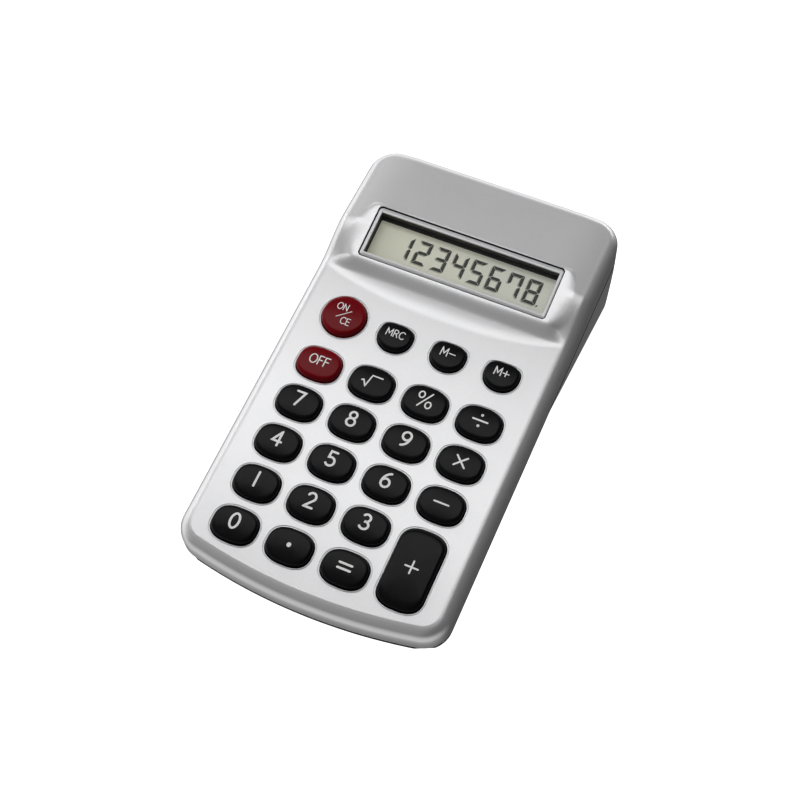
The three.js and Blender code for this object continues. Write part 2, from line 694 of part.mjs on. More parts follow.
// Pan-head screw pointing up, its head's bearing face at z = 0.
function screwGeometry(headRadius, headHeight, shankRadius, shankLength) {
  const profile = [
    [0, -headHeight],
    [headRadius * 0.8, -headHeight],
    [headRadius, -headHeight * 0.6],
    [headRadius, 0],
    [shankRadius, 0],
    [shankRadius, shankLength - shankRadius],
    [0, shankLength],
  ].map(([r, along]) => new THREE.Vector2(r, along));
  return geometryOf(solidOf(new THREE.LatheGeometry(profile, 12).rotateX(Math.PI / 2)));
}

CASE_SCREWS.forEach(([x, y], i) => {
  const bearing = screwSeat(y) - GAP;
  const geometry = screwGeometry(1.75, 0.95, 0.85, -2.4 - bearing);
  addMesh(`case_screw_${i + 1}`, geometry, STEEL, 0.3, 1).position.set(x, y, bearing);
});

BOARD_SCREWS.forEach(([x, y], i) => {
  const geometry = screwGeometry(BOARD_SCREW_HEAD, 0.7, 0.6, 3.8);
  addMesh(`board_screw_${i + 1}`, geometry, STEEL, 0.3, 1).position.set(x, y, UNDER_BOARD_Z);
});

// The feet end in one plane, which the tip of the case makes level.
const frontFootZ = baseHeight(FRONT_FEET.y) - FOOT_DROP;
const rearFootZ = baseHeight(REAR_FEET.y) - FOOT_DROP;
const TIP_ANGLE = Math.atan2(frontFootZ - rearFootZ, REAR_FEET.y - FRONT_FEET.y);

function footSolid(x, y, footZ) {
  const upright = new THREE.CylinderGeometry(FOOT_RADIUS, FOOT_RADIUS, 8, 20).rotateX(Math.PI / 2);
  upright.translate(0, 0, 4).rotateX(-TIP_ANGLE).translate(x, y, footZ);
  return solidOf(upright);
}

const belowKeypad = box(-40, -80, -30, 40, 80, KEYPAD_BASE_Z - GAP);
const belowSlope = slopeBox(-40, -80, -30, 40, 120, -GAP);
[-1, 1].forEach((side, i) => {
  const front = footSolid(side * FRONT_FEET.x, FRONT_FEET.y, frontFootZ).intersect(belowKeypad);
  addMesh(`foot_${i + 1}`, geometryOf(front), 0x26272a, 0.85, 0);
  const rear = footSolid(side * REAR_FEET.x, REAR_FEET.y, rearFootZ).intersect(belowSlope);
  addMesh(`foot_${i + 3}`, geometryOf(rear), 0x26272a, 0.85, 0);
});

// ---------------------------------------------------------------- standing on its feet

const calculator = new THREE.Group();
calculator.add(caseGroup);
caseGroup.rotation.x = TIP_ANGLE;
calculator.updateMatrixWorld(true);
const bounds = new THREE.Box3().setFromObject(calculator, true);
const centre = bounds.getCenter(new THREE.Vector3());
caseGroup.position.set(-centre.x, -centre.y, -bounds.min.z);
calculator.updateMatrixWorld(true);

export default calculator;
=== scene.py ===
import json
import math

import bpy
import bmesh
import numpy as np
from mathutils import Matrix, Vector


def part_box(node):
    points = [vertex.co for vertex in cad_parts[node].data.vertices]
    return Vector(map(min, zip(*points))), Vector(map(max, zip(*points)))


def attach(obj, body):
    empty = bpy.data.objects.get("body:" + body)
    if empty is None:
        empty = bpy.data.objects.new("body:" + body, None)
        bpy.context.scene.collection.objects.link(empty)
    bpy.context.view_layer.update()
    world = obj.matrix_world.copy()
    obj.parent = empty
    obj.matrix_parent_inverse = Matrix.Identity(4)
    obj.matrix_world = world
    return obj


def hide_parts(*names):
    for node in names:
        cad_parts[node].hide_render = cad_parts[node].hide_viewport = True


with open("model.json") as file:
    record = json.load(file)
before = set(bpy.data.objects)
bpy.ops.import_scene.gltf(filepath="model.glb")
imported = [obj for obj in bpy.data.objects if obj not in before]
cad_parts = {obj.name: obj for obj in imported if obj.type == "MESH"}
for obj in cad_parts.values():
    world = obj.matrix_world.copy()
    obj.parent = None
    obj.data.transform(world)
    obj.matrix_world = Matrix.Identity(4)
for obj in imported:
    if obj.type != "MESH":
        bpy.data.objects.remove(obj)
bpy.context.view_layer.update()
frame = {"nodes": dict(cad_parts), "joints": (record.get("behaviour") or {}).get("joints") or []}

# ------------------------------------------------------------------ how the case lies
# The calculator stands tipped on its four feet. Everything is drawn in millimetres on the case's own axes:
# x across the keys, y from the keypad end to the display end, z out of the flat keypad face.

KEYPAD_END = -57.4
DISPLAY_END = 56.7
FRONT_SHELL_BOTTOM = -6.65

press = next(joint for joint in frame["joints"] if joint["name"] == "press_7")
tip = math.atan2(press["axis"][1], -press["axis"][2])
cos_tip = math.cos(tip)
sin_tip = math.sin(tip)
packed_shell = frame["nodes"]["front_shell"].data.vertices
packed_points = np.empty(len(packed_shell) * 3)
packed_shell.foreach_get("co", packed_points)
packed_points = packed_points.reshape(-1, 3) * 1000
shell_along = packed_points[:, 1] * cos_tip + packed_points[:, 2] * sin_tip
shell_height = packed_points[:, 2] * cos_tip - packed_points[:, 1] * sin_tip
case_along = shell_along.min() - KEYPAD_END
case_height = shell_height.min() - FRONT_SHELL_BOTTOM


def stand(points):
    """Points of the case in millimetres, moved to its origin and turned by the tip about x, in metres."""
    y = points[..., 1] + case_along
    z = points[..., 2] + case_height
    turned = [points[..., 0], y * cos_tip - z * sin_tip, y * sin_tip + z * cos_tip]
    return np.stack(turned, -1) / 1000


# ------------------------------------------------------------------ front shell
# Upper half of the case, moulded in ABS and sprayed satin silver. The keypad is flat, the display end rises
# in a soft hump, and the rim is rounded all round. It drops over the keys and is held by four screws.

HALF_WIDTH = 31.6
WALL = 1.6
RIM_RADIUS = 2.75
BOW_RADIUS = 130.0
BOW_CENTRE = KEYPAD_END + BOW_RADIUS
CORNER_RADIUS = 6.5
CORNER_X = HALF_WIDTH - CORNER_RADIUS
KEYPAD_CORNER_Y = BOW_CENTRE - math.sqrt((BOW_RADIUS - CORNER_RADIUS) ** 2 - CORNER_X**2)
DISPLAY_CORNER_Y = DISPLAY_END - CORNER_RADIUS
WINDOW_Y = 31.85
WINDOW_HALF = (23.15, 6.6)
WINDOW_SLOPE = 0.111
WINDOW_HEIGHT = 1.8 + (WINDOW_Y - 25.3) * WINDOW_SLOPE
HUMP_HEIGHT = 3.6
HUMP_FALL = 0.075
GAP = 0.3
PARTING_STEP = 0.36
PARTING_INSET = 0.32


def smooth_rise(t):
    """Cubic ease from 0 to 1 with level ends."""
    t = np.clip(t, 0, 1)
    return t * t * (3 - 2 * t)


def window_plane(y):
    """Height of the leaning plane of the window frame."""
    return WINDOW_HEIGHT + (y - WINDOW_Y) * WINDOW_SLOPE


def face_height(x, y):
    """Height of the front face: level keypad, a cubic rise that starts later and ends lower towards the
    sides, a straight fall behind the crest, and a landing that follows the window plane round the frame.
    The landing fades over a crescent at both sides, crisp at the back and soft in front, and over the
    easing at its front and back edges."""
    side = np.abs(x) / (HALF_WIDTH - RIM_RADIUS)
    foot = 16.5 + 4.0 * side**2.5
    crest = 35.0 - 1.0 * side**2
    shoulder = 1 - 0.24 * np.clip((side - 0.7) / 0.3, 0, 1) ** 2
    hump = HUMP_HEIGHT * shoulder * smooth_rise((y - foot) / (crest - foot))
    hump = hump - HUMP_FALL * np.maximum(0, y - crest)
    along = (y - WINDOW_Y) * math.hypot(1, WINDOW_SLOPE)
    past_end = np.maximum(0, np.abs(along) - WINDOW_HALF[1] - GAP)
    past_side = np.maximum(0, np.abs(x) - WINDOW_HALF[0] - GAP)
    softer = smooth_rise(0.2 - along / 6)
    crescent = 1.2 + 2.5 * np.sqrt(np.clip(1 - (along / 7.3) ** 2, 0, 1)) + 2.2 * softer + past_end
    easing = np.where(along > 0, 0.9, 3.8)
    beside = np.clip(past_side / crescent, 0, 1)
    beside = beside**1.6 * (1 - softer) + smooth_rise(beside) * softer
    hollow = (1 - beside) * (1 - smooth_rise(past_end / easing))
    return hump + (window_plane(y) - hump) * hollow


def outline(across, lengthwise, inset, end_y=DISPLAY_END):
    """Outline of the case drawn in by `inset`: a bowed keypad end, straight sides and a straight display
    end joined by corner arcs. Gives the keypad end, right side, display end and left side as four rows of
    points, sampled at the x values `across` and the y values `lengthwise`, which are those of the face."""
    inner = CORNER_RADIUS - RIM_RADIUS
    shift = end_y - DISPLAY_END
    reach = np.abs(across)
    turn = np.arccos(np.clip((reach - CORNER_X) / inner, 0, 1))
    bow_limit = (BOW_RADIUS - RIM_RADIUS) * CORNER_X / (BOW_RADIUS - CORNER_RADIUS)
    bow_turn = np.arcsin(np.clip(across / (BOW_RADIUS - RIM_RADIUS), -1, 1))
    on_bow = reach <= bow_limit
    radius = CORNER_RADIUS - inset
    corner_x = np.sign(across) * (CORNER_X + radius * np.cos(turn))
    bow_x = (BOW_RADIUS - inset) * np.sin(bow_turn)
    bow_y = BOW_CENTRE - (BOW_RADIUS - inset) * np.cos(bow_turn)
    keypad_x = np.where(on_bow, bow_x, corner_x)
    keypad_y = np.where(on_bow, bow_y, KEYPAD_CORNER_Y - radius * np.sin(turn))
    straight = reach <= CORNER_X
    display_x = np.where(straight, across, corner_x)
    display_y = np.where(straight, end_y - inset, DISPLAY_CORNER_Y + shift + radius * np.sin(turn))
    below = lengthwise < KEYPAD_CORNER_Y
    above = lengthwise > DISPLAY_CORNER_Y
    centre = np.where(below, KEYPAD_CORNER_Y, np.where(above, DISPLAY_CORNER_Y, lengthwise))
    lean = np.arcsin(np.clip((lengthwise - centre) / inner, -1, 1))
    stretch = (DISPLAY_CORNER_Y + shift) / DISPLAY_CORNER_Y
    moved = np.where(centre > 0, centre * stretch, centre)
    side_x = CORNER_X + radius * np.cos(lean)
    side_x = np.where(below | above, side_x, HALF_WIDTH - inset)
    side_y = moved + radius * np.sin(lean)
    keypad = np.stack([keypad_x, keypad_y], -1)
    right = np.stack([side_x, side_y], -1)
    display = np.stack([display_x, display_y], -1)
    left = right * [-1, 1]
    return keypad, right, display, left


def around(keypad, right, display, left):
    """The four rows of an outline as one ring, counter-clockwise, without repeating the corners."""
    return np.concatenate([keypad, right[1:], display[::-1][1:], left[::-1][1:-1]])


def patch(keypad, right, display, left):
    """Surface between four rows of points: the two lengthwise blends plus the two crosswise blends, less
    the blend of the four corners."""
    u = ((keypad[:, 0] - keypad[0, 0]) / (keypad[-1, 0] - keypad[0, 0]))[None, :, None]
    v = ((right[:, 1] - right[0, 1]) / (right[-1, 1] - right[0, 1]))[:, None, None]
    lengthwise = (1 - v) * keypad[None] + v * display[None]
    crosswise = (1 - u) * left[:, None] + u * right[:, None]
    near = (1 - u) * keypad[0] + u * keypad[-1]
    far = (1 - u) * display[0] + u * display[-1]
    return lengthwise + crosswise - (1 - v) * near - v * far


def raised(flat, height):
    """Points of the plan given a height."""
    return np.concatenate([flat, np.broadcast_to(height, flat.shape[:-1])[..., None]], -1)


def quads(numbers):
    """Four-sided faces between neighbours in a table of point numbers."""
    corners = [numbers[:-1, :-1], numbers[:-1, 1:], numbers[1:, 1:], numbers[1:, :-1]]
    return np.stack(corners, -1).reshape(-1, 4)


def edge_numbers(table):
    """Point numbers round the border of a table, in the order of `around`."""
    return np.concatenate([table[0], table[1:, -1], table[-1][::-1][1:], table[:, 0][::-1][1:-1]])


def tray(top, rings, bottom):
    """Closed skin from a top patch, rings that run down from its border, and a bottom patch of the same
    table size that the last ring meets."""
    rows, columns = top.shape[:2]
    table = np.arange(rows * columns).reshape(rows, columns)
    count = 2 * (rows + columns) - 4
    offset = rows * columns
    ring_numbers = [edge_numbers(table)]
    for step in range(len(rings)):
        ring_numbers.append(offset + step * count + np.arange(count))
    offset += len(rings) * count
    lower = table + offset
    ring_numbers.append(edge_numbers(lower))
    ring_numbers = np.array(ring_numbers)
    band = np.concatenate([ring_numbers, ring_numbers[:, :1]], 1)[::-1]
    points = np.concatenate([top.reshape(-1, 3), *rings, bottom.reshape(-1, 3)])
    return points, np.concatenate([quads(table), quads(band), quads(lower)[:, ::-1]]).tolist()


def skin(rings):
    """Closed skin through rings of equal count, from the lowest to the highest, with both ends capped."""
    rings = np.asarray(rings, float)
    rows, count = rings.shape[:2]
    numbers = np.arange(rows * count).reshape(rows, count)
    band = np.concatenate([numbers, numbers[:, :1]], 1)
    faces = quads(band).tolist() + [numbers[0][::-1].tolist(), numbers[-1].tolist()]
    return rings.reshape(-1, 3), faces


def together(*solids):
    """Several sets of points and faces as one set."""
    points = []
    faces = []
    start = 0
    for some_points, some_faces in solids:
        points.append(some_points)
        faces += [[number + start for number in face] for face in some_faces]
        start += len(some_points)
    return np.concatenate(points), faces


def mesh_of(name, points, faces, closed=True):
    """Mesh of the case's points, welded, with its faces turned outwards where the skin is closed."""
    mesh = bpy.data.meshes.new(name)
    mesh.from_pydata(stand(np.asarray(points)).tolist(), [], faces)
    work = bmesh.new()
    work.from_mesh(mesh)
    bmesh.ops.remove_doubles(work, verts=work.verts, dist=1e-7)
    if closed:
        bmesh.ops.recalc_face_normals(work, faces=work.faces)
    work.to_mesh(mesh)
    work.free()
    return mesh


def carve(mesh, cutters, operation="DIFFERENCE"):
    """The mesh with the cutters taken away one after the other, or joined to it, or kept only in them."""
    for cutter in cutters:
        body = bpy.data.objects.new("carving", mesh)
        tool = bpy.data.objects.new("cutter", cutter)
        bpy.context.scene.collection.objects.link(body)
        bpy.context.scene.collection.objects.link(tool)
        modifier = body.modifiers.new("cut", "BOOLEAN")
        modifier.operation = operation
        modifier.solver = "MANIFOLD"
        modifier.object = tool
        bpy.context.view_layer.update()
        carved = body.evaluated_get(bpy.context.evaluated_depsgraph_get())
        mesh = bpy.data.meshes.new_from_object(carved)
        bpy.data.objects.remove(body)
        bpy.data.objects.remove(tool)
    return mesh


def finish_piece(name, mesh, finishes, body, nodes=(), crease=38, level_faces=False):
    """Object of a mesh with its finishes on its body, smooth but for edges sharper than `crease` degrees.
    With `level_faces`, what is level on the case stays perfectly flat."""
    mesh.name = name
    mesh.shade_smooth()
    mesh.set_sharp_from_angle(angle=math.radians(crease))
    if level_faces:
        normals = np.empty(len(mesh.polygons) * 3)
        mesh.polygons.foreach_get("normal", normals)
        up = normals.reshape(-1, 3) @ np.array([0, -sin_tip, cos_tip])
        nearly_level = 0.999995
        mesh.polygons.foreach_set("use_smooth", up < nearly_level)
    mesh.materials.clear()
    for finish in finishes:
        mesh.materials.append(finish)
    piece = bpy.data.objects.new(name, mesh)
    bpy.context.scene.collection.objects.link(piece)
    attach(piece, body)
    if nodes:
        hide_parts(*nodes)
    return piece


class Strand:
    """One socket of a finish, so that patterns join with + - * and / as numbers do."""

    def __init__(self, tree, socket=None):
        self.tree = tree
        self.socket = socket

    def node(self, kind, settings=(), feed=(), give=0):
        """A new node of that type: its settings first, then the values or strands of its sockets."""
        made = self.tree.nodes.new("ShaderNode" + kind)
        for key, value in dict(settings).items():
            if key == "stops":
                ramp = made.color_ramp
                while len(ramp.elements) < len(value):
                    ramp.elements.new(0.5)
                for element, (position, colour) in zip(ramp.elements, value):
                    element.position = position
                    element.color = colour
            else:
                setattr(made, key, value)
        for key, value in dict(feed).items():
            if isinstance(value, Strand):
                self.tree.links.new(value.socket, made.inputs[key])
            else:
                made.inputs[key].default_value = value
        return Strand(self.tree, made.outputs[give])

    def maths(self, operation, first, second):
        """One Math node on two strands or numbers."""
        return self.node("Math", {"operation": operation}, {0: first, 1: second})

    def __add__(self, other):
        return self.maths("ADD", self, other)

    def __radd__(self, other):
        return self.maths("ADD", other, self)

    def __sub__(self, other):
        return self.maths("SUBTRACT", self, other)

    def __rsub__(self, other):
        return self.maths("SUBTRACT", other, self)

    def __mul__(self, other):
        return self.maths("MULTIPLY", self, other)

    def __rmul__(self, other):
        return self.maths("MULTIPLY", other, self)

    def __truediv__(self, other):
        return self.maths("DIVIDE", self, other)

    def __pow__(self, other):
        return self.maths("POWER", self, other)

    def between(self, low, high):
        """0 below `low`, 1 above `high`, and a smooth step between."""
        settings = {"interpolation_type": "SMOOTHSTEP"}
        return self.node("MapRange", settings, {"Value": self, "From Min": low, "From Max": high})

    def tint(self, first, second):
        """A colour from `first` at 0 to `second` at 1."""
        return self.node("Mix", {"data_type": "RGBA"}, {0: self, 6: first, 7: second}, 2)

    def noise(self, scale, detail=2.0, roughness=0.5):
        """Soft random pattern of that many grains per millimetre."""
        feed = {"Vector": self, "Scale": scale, "Detail": detail, "Roughness": roughness}
        return self.node("TexNoise", {}, feed)

    def bump(self, depth):
        """Relief from this strand, `depth` millimetres from its lowest to its highest."""
        return self.node("Bump", {}, {"Strength": 1.0, "Distance": depth / 1000, "Height": self})


def start_finish(name, **fixed):
    """A new finish with its uniform values set: the material, its shader, and the place on the case in
    millimetres."""
    material = bpy.data.materials.new(name)
    material.use_nodes = True
    shader = material.node_tree.nodes["Principled BSDF"]
    for socket, value in fixed.items():
        shader.inputs[socket.replace("_", " ")].default_value = value
    spot = Strand(material.node_tree).node("TexCoord", give="Object")
    feed = {
        "Vector": spot,
        "Location": (0, -case_along, -case_height),
        "Rotation": (-tip, 0, 0),
        "Scale": (1000, 1000, 1000),
    }
    return material, shader, spot.node("Mapping", {"vector_type": "POINT"}, feed)


def wire_up(shader, **strands):
    """Joins strands to the shader's sockets."""
    for socket, strand in strands.items():
        shader.id_data.links.new(strand.socket, shader.inputs[socket.replace("_", " ")])


def silver_paint(name, bright, shade, roughness=0.34, metallic=0.63):
    """Sprayed silver: fine flake, faint orange peel, slight clouding, and soft scuffs on outer edges."""
    material, shader, place = start_finish(name, Metallic=metallic, IOR=1.5)
    cloud = place.noise(0.045, 3)
    flake = place.node("TexVoronoi", {"feature": "F1"}, {"Vector": place, "Scale": 5.5}, "Color")
    flake_grey = flake.node("SeparateColor", {}, {0: flake})
    peel = place.noise(1.1, 2)
    scuff = place.noise(0.55, 6, 0.72).between(0.6, 0.74)
    place_x = place.node("SeparateXYZ", {}, {0: place}, 0)
    away = place_x.node("Math", {"operation": "ABSOLUTE"}, {0: place_x})
    worn = scuff * away.between(29.4, 31.4) * 0.5
    tone = cloud * 0.55 + flake_grey * 0.45
    wire_up(
        shader,
        Base_Color=worn.tint(tone.tint(shade, bright), (0.55, 0.55, 0.56, 1)),
        Roughness=roughness - 0.05 + flake_grey * 0.05 + cloud * 0.05 + worn * 0.12,
        Normal=(flake_grey * 0.3 + peel * 0.7).bump(0.0035),
    )
    return material


# columns are closer beside the window, rows are closer over the hump
across = np.concatenate([np.arange(-22.4, 22.5, 0.8), np.arange(22.6, 27.7, 0.17)])
across = np.unique(np.round(np.concatenate([across, -np.arange(22.6, 27.7, 0.17)]), 4))
corner_reach = CORNER_X + (CORNER_RADIUS - RIM_RADIUS) * math.sqrt(0.5)
across = np.concatenate([[-corner_reach], across[np.abs(across) < corner_reach - 0.05], [corner_reach]])
corner_drop = (CORNER_RADIUS - RIM_RADIUS) * math.sqrt(0.5)
lengthwise = np.concatenate(
    [
        KEYPAD_CORNER_Y - corner_drop * np.linspace(1, 0, 7),
        np.linspace(KEYPAD_CORNER_Y, 14, 34)[1:],
        np.linspace(14, DISPLAY_CORNER_Y, 112)[1:],
        DISPLAY_CORNER_Y + corner_drop * np.linspace(0, 1, 8)[1:],
    ]
)
border = outline(across, lengthwise, RIM_RADIUS)
face_plan = patch(*border)
face = raised(face_plan, face_height(face_plan[..., 0], face_plan[..., 1]))
rim_height = face_height(around(*border)[:, 0], around(*border)[:, 1])
rings = []
for angle in np.radians(np.linspace(78, 0, 8)):
    plan = around(*outline(across, lengthwise, RIM_RADIUS * (1 - math.cos(angle))))
    rings.append(raised(plan, rim_height - RIM_RADIUS * (1 - math.sin(angle))))
for inset, up in [(0.0, PARTING_STEP), (0.05, 0.2), (0.16, 0.08), (PARTING_INSET, 0.0)]:
    rings.append(raised(around(*outline(across, lengthwise, inset)), FRONT_SHELL_BOTTOM + up))
rings.append(raised(around(*outline(across, lengthwise, WALL)), FRONT_SHELL_BOTTOM))
ceiling_plan = patch(*outline(across, lengthwise, WALL))
ceiling = raised(ceiling_plan, face_height(ceiling_plan[..., 0] * 0.96, ceiling_plan[..., 1]) - WALL)
front_skin = mesh_of("front_skin", *tray(face, rings, ceiling))

# Each key looks out of its own hole, whose rim is slightly rounded. The outlines are flattened ovals.
COLUMN_PITCH = 13.0
ROW_PITCH = 10.643
OVALS = {
    "wide": (5.35, 4.25, 4.25, 2.6, 2.6, 0.0),
    "round": (5.4, 5.4, 5.4, 2.0, 2.0, 0.0),
    "memory": (4.25, 3.3, 4.1, 3.2, 2.1, 0.0),
    "tall": (5.35, 4.25, 4.25, 2.6, 2.6, ROW_PITCH / 2),
}
KEYPAD = [
    ("key_on_clear", 0, 0, "round"),
    ("key_memory_recall", 1, 0, "memory"),
    ("key_memory_minus", 2, 0, "memory"),
    ("key_memory_plus", 3, 0, "memory"),
    ("key_off", 0, 1, "wide"),
    ("key_square_root", 1, 1, "wide"),
    ("key_percent", 2, 1, "wide"),
    ("key_divide", 3, 1, "wide"),
    ("key_7", 0, 2, "wide"),
    ("key_8", 1, 2, "wide"),
    ("key_9", 2, 2, "wide"),
    ("key_multiply", 3, 2, "wide"),
    ("key_4", 0, 3, "wide"),
    ("key_5", 1, 3, "wide"),
    ("key_6", 2, 3, "wide"),
    ("key_minus", 3, 3, "wide"),
    ("key_1", 0, 4, "wide"),
    ("key_2", 1, 4, "wide"),
    ("key_3", 2, 4, "wide"),
    ("key_0", 0, 5, "wide"),
    ("key_point", 1, 5, "wide"),
    ("key_equals", 2, 5, "wide"),
    ("key_plus", 3, 4.5, "tall"),
]


def key_place(column, row, shape):
    """Centre of a key; the round one sits a little above its row."""
    y = 8.8 if row == 0 else -4.25 - (row - 1) * ROW_PITCH
    return np.array([(column - 1.5) * COLUMN_PITCH, y + (0.45 if shape == "round" else 0)])


def oval(shape, inset=0.0, scale=1.0, count=72):
    """Ring x = a sign(cos) |cos|^(2/n), y = b sign(sin) |sin|^(2/n), with its own b and n for the upper and
    the lower half, drawn in by `inset`, pulled apart by the straight stretch, and shrunk by `scale`."""
    a, upper, lower, upper_power, lower_power, stretch = OVALS[shape]
    angle = -math.pi / 2 + (np.arange(count) + 0.5) * 2 * math.pi / count
    cosine = np.cos(angle)
    sine = np.sin(angle)
    power = np.where(sine > 0, upper_power, lower_power)
    reach = np.where(sine > 0, upper, lower) - inset
    x = (a - inset) * np.sign(cosine) * np.abs(cosine) ** (2 / power)
    y = reach * np.sign(sine) * np.abs(sine) ** (2 / power)
    return np.stack([x, y + np.sign(sine) * stretch], -1) * scale


# a level lip round the key, a fine groove outside it, and the flat face
HOLE_RIM = [(0, -4.0), (0, -0.12), (0.03, -0.05), (0.07, -0.03), (0.22, -0.03)]
HOLE_RIM += [(0.26, -0.24), (0.33, -0.24), (0.38, -0.02), (0.42, 0.0), (0.43, 0.5)]
holes = []
for name, column, row, shape in KEYPAD:
    centre = key_place(column, row, shape)
    levels = [raised(oval(shape, -out) + centre, height) for out, height in HOLE_RIM]
    holes.append(skin(levels))


def rounded_ring(half_x, half_y, radius, steps=8):
    """Ring of a rectangle whose corners are arcs of that radius, counter-clockwise."""
    angle = np.radians(np.linspace(0, 90, steps + 1))
    corner = np.stack([np.cos(angle), np.sin(angle)], -1) * radius + [half_x - radius, half_y - radius]
    flipped = corner[::-1]
    return np.concatenate([corner, flipped * [-1, 1], corner * [-1, -1], flipped * [1, -1]])


WINDOW_ANGLE = math.atan(WINDOW_SLOPE)


def in_window(points):
    """Points of the window frame, whose z = 0 is its leaning plane, turned and moved into the case."""
    y = points[..., 1] * math.cos(WINDOW_ANGLE) - points[..., 2] * math.sin(WINDOW_ANGLE) + WINDOW_Y
    z = points[..., 1] * math.sin(WINDOW_ANGLE) + points[..., 2] * math.cos(WINDOW_ANGLE) + WINDOW_HEIGHT
    return np.stack([points[..., 0], y, z], -1)


opening = []
for out, height in [(0, -3.5), (0, -0.1), (0.03, -0.04), (0.07, 0.0), (0.09, 3.0)]:
    ring = rounded_ring(WINDOW_HALF[0] + 0.2 + out, WINDOW_HALF[1] + 0.25 + out, 0.9 + out) + [-0.1, 0.14]
    opening.append(in_window(raised(ring, height)))
front_mesh = carve(front_skin, [mesh_of("holes", *together(*holes)), mesh_of("window", *skin(opening))])

# posts for the case screws and the board screws stand inside
CASE_SCREWS = [(-27.2, -47.5), (27.2, -47.5), (-27.2, 19.5), (27.2, 19.5)]
BOARD_SCREWS = [(-13, -52.4), (13, -52.4), (-13, -9.6), (13, -9.6)]


def turned(profile, x=0.0, y=0.0, z=0.0, count=32):
    """Skin of a turned part: each (radius, height) of the profile becomes a circle."""
    angle = np.arange(count) * 2 * math.pi / count
    circle = np.stack([np.cos(angle), np.sin(angle)], -1)
    return skin([raised(circle * radius + [x, y], height + z) for radius, height in profile])


posts = []
for x, y in CASE_SCREWS:
    top = float(face_height(np.array(x), np.array(y))) - 1.1
    profile = [(0.02, -2.1), (1.15, -2.1), (1.15, -5.7), (1.9, -5.7), (1.9, top), (0.02, top)]
    posts.append(turned(profile, x, y))
for x, y in BOARD_SCREWS:
    profile = [(0.02, -1.9), (0.9, -1.9), (0.9, -4.6), (1.7, -4.6), (1.7, -1.1), (0.02, -1.1)]
    posts.append(turned(profile, x, y))
post_mesh = mesh_of("posts", *together(*posts))
joiner = bmesh.new()
joiner.from_mesh(front_mesh)
joiner.from_mesh(post_mesh)
joiner.to_mesh(front_mesh)
joiner.free()
case_silver = silver_paint("case_silver", (0.86, 0.86, 0.87, 1), (0.78, 0.78, 0.79, 1))
# painted shade: a dark, dull copy of the silver paint darkens the walls of the gaps between parts
gap_shade = silver_paint("case_gap_painted_shade", (0.05, 0.05, 0.05, 1), (0.03, 0.03, 0.03, 1), 0.7, 0.0)
finishes = [case_silver, gap_shade]
finish_piece("front_cover", front_mesh, finishes, "case", ["front_shell"], level_faces=True)


def lie_down(points):
    """Points as they stand, in millimetres, taken back to the case's axes."""
    y = points[:, 1] * cos_tip + points[:, 2] * sin_tip - case_along
    z = points[:, 2] * cos_tip - points[:, 1] * sin_tip - case_height
    return np.stack([points[:, 0], y, z], -1)


def on_case(mesh):
    """Middles of a mesh's faces on the case's axes."""
    middles = np.empty(len(mesh.polygons) * 3)
    mesh.polygons.foreach_get("center", middles)
    return lie_down(middles.reshape(-1, 3) * 1000)


def off_window(points):
    """Points of the case as the window frame sees them."""
    y = points[:, 1] - WINDOW_Y
    z = points[:, 2] - WINDOW_HEIGHT
    tilt = math.cos(WINDOW_ANGLE), math.sin(WINDOW_ANGLE)
    return np.stack([points[:, 0], y * tilt[0] + z * tilt[1], z * tilt[0] - y * tilt[1]], -1)


# the walls of the gap round the window frame take the painted gap shade
middles = off_window(on_case(front_mesh))
reach = np.array(WINDOW_HALF) + GAP + 0.16
in_gap = (np.abs(middles[:, :2]) < reach).all(-1) & (middles[:, 2] < -0.1)
front_mesh.polygons.foreach_set("material_index", in_gap.astype(np.int32))

# ------------------------------------------------------------------ keys
# Twenty-three moulded keys, two of them red. Each has a domed cap with softened edges, a captive flange
# under the face and a stem on the rubber mat, and slides 0.8 mm in its hole.

KEY_CLEARANCE = 0.27
FLANGE_TOP = -WALL - GAP
FLANGE_BOTTOM = FLANGE_TOP - 0.5
STEM_BOTTOM = -3.8
CROWN = 1.53
CROWN_FALL = 0.17
SHOULDER = 0.66
SHOULDER_START = 0.85


def cap_height(reach):
    """Height of a cap at `reach`, 0 in the middle and 1 at the skirt: a shallow parabola that turns over
    an elliptical shoulder."""
    dome = CROWN - CROWN_FALL * reach**2
    over = np.clip((reach - SHOULDER_START) / (1 - SHOULDER_START), 0, 1)
    return dome - SHOULDER * (1 - np.sqrt(np.clip(1 - over**2, 0, 1)))


def key_mesh(name, centre, shape):
    """Rings of one key from the foot of its stem to the top of its crown."""
    stem = oval("round", 5.4 - 2.2)
    flange = oval(shape, -0.6)
    skirt = oval(shape, KEY_CLEARANCE)
    levels = [(stem, STEM_BOTTOM), (stem, FLANGE_BOTTOM), (flange, FLANGE_BOTTOM), (flange, FLANGE_TOP)]
    levels += [(skirt, FLANGE_TOP), (skirt, -0.3)]
    over_shoulder = SHOULDER_START + (1 - SHOULDER_START) * np.sin(np.radians(np.linspace(90, 8, 9)))
    for reach in np.concatenate([over_shoulder, np.linspace(0.8, 0.04, 14)]):
        levels.append((oval(shape, KEY_CLEARANCE, reach), cap_height(reach)))
    return mesh_of(name, *skin([raised(ring + centre, height) for ring, height in levels]))


def key_plastic(name, colour, smudged, roughness):
    """Moulded key: fine spark texture, slight clouding, and patches that fingers have rubbed smoother."""
    material, shader, place = start_finish(name, IOR=1.47, Specular_IOR_Level=0.11)
    grain = place.noise(7.0, 2)
    cloud = place.noise(0.16, 3)
    rubbed = place.noise(0.5, 5, 0.65).between(0.5, 0.72)
    wire_up(
        shader,
        Base_Color=(cloud * 0.6 + grain * 0.4).tint(colour, smudged),
        Roughness=roughness + grain * 0.08 - rubbed * 0.06,
        Normal=grain.bump(0.004),
    )
    return material


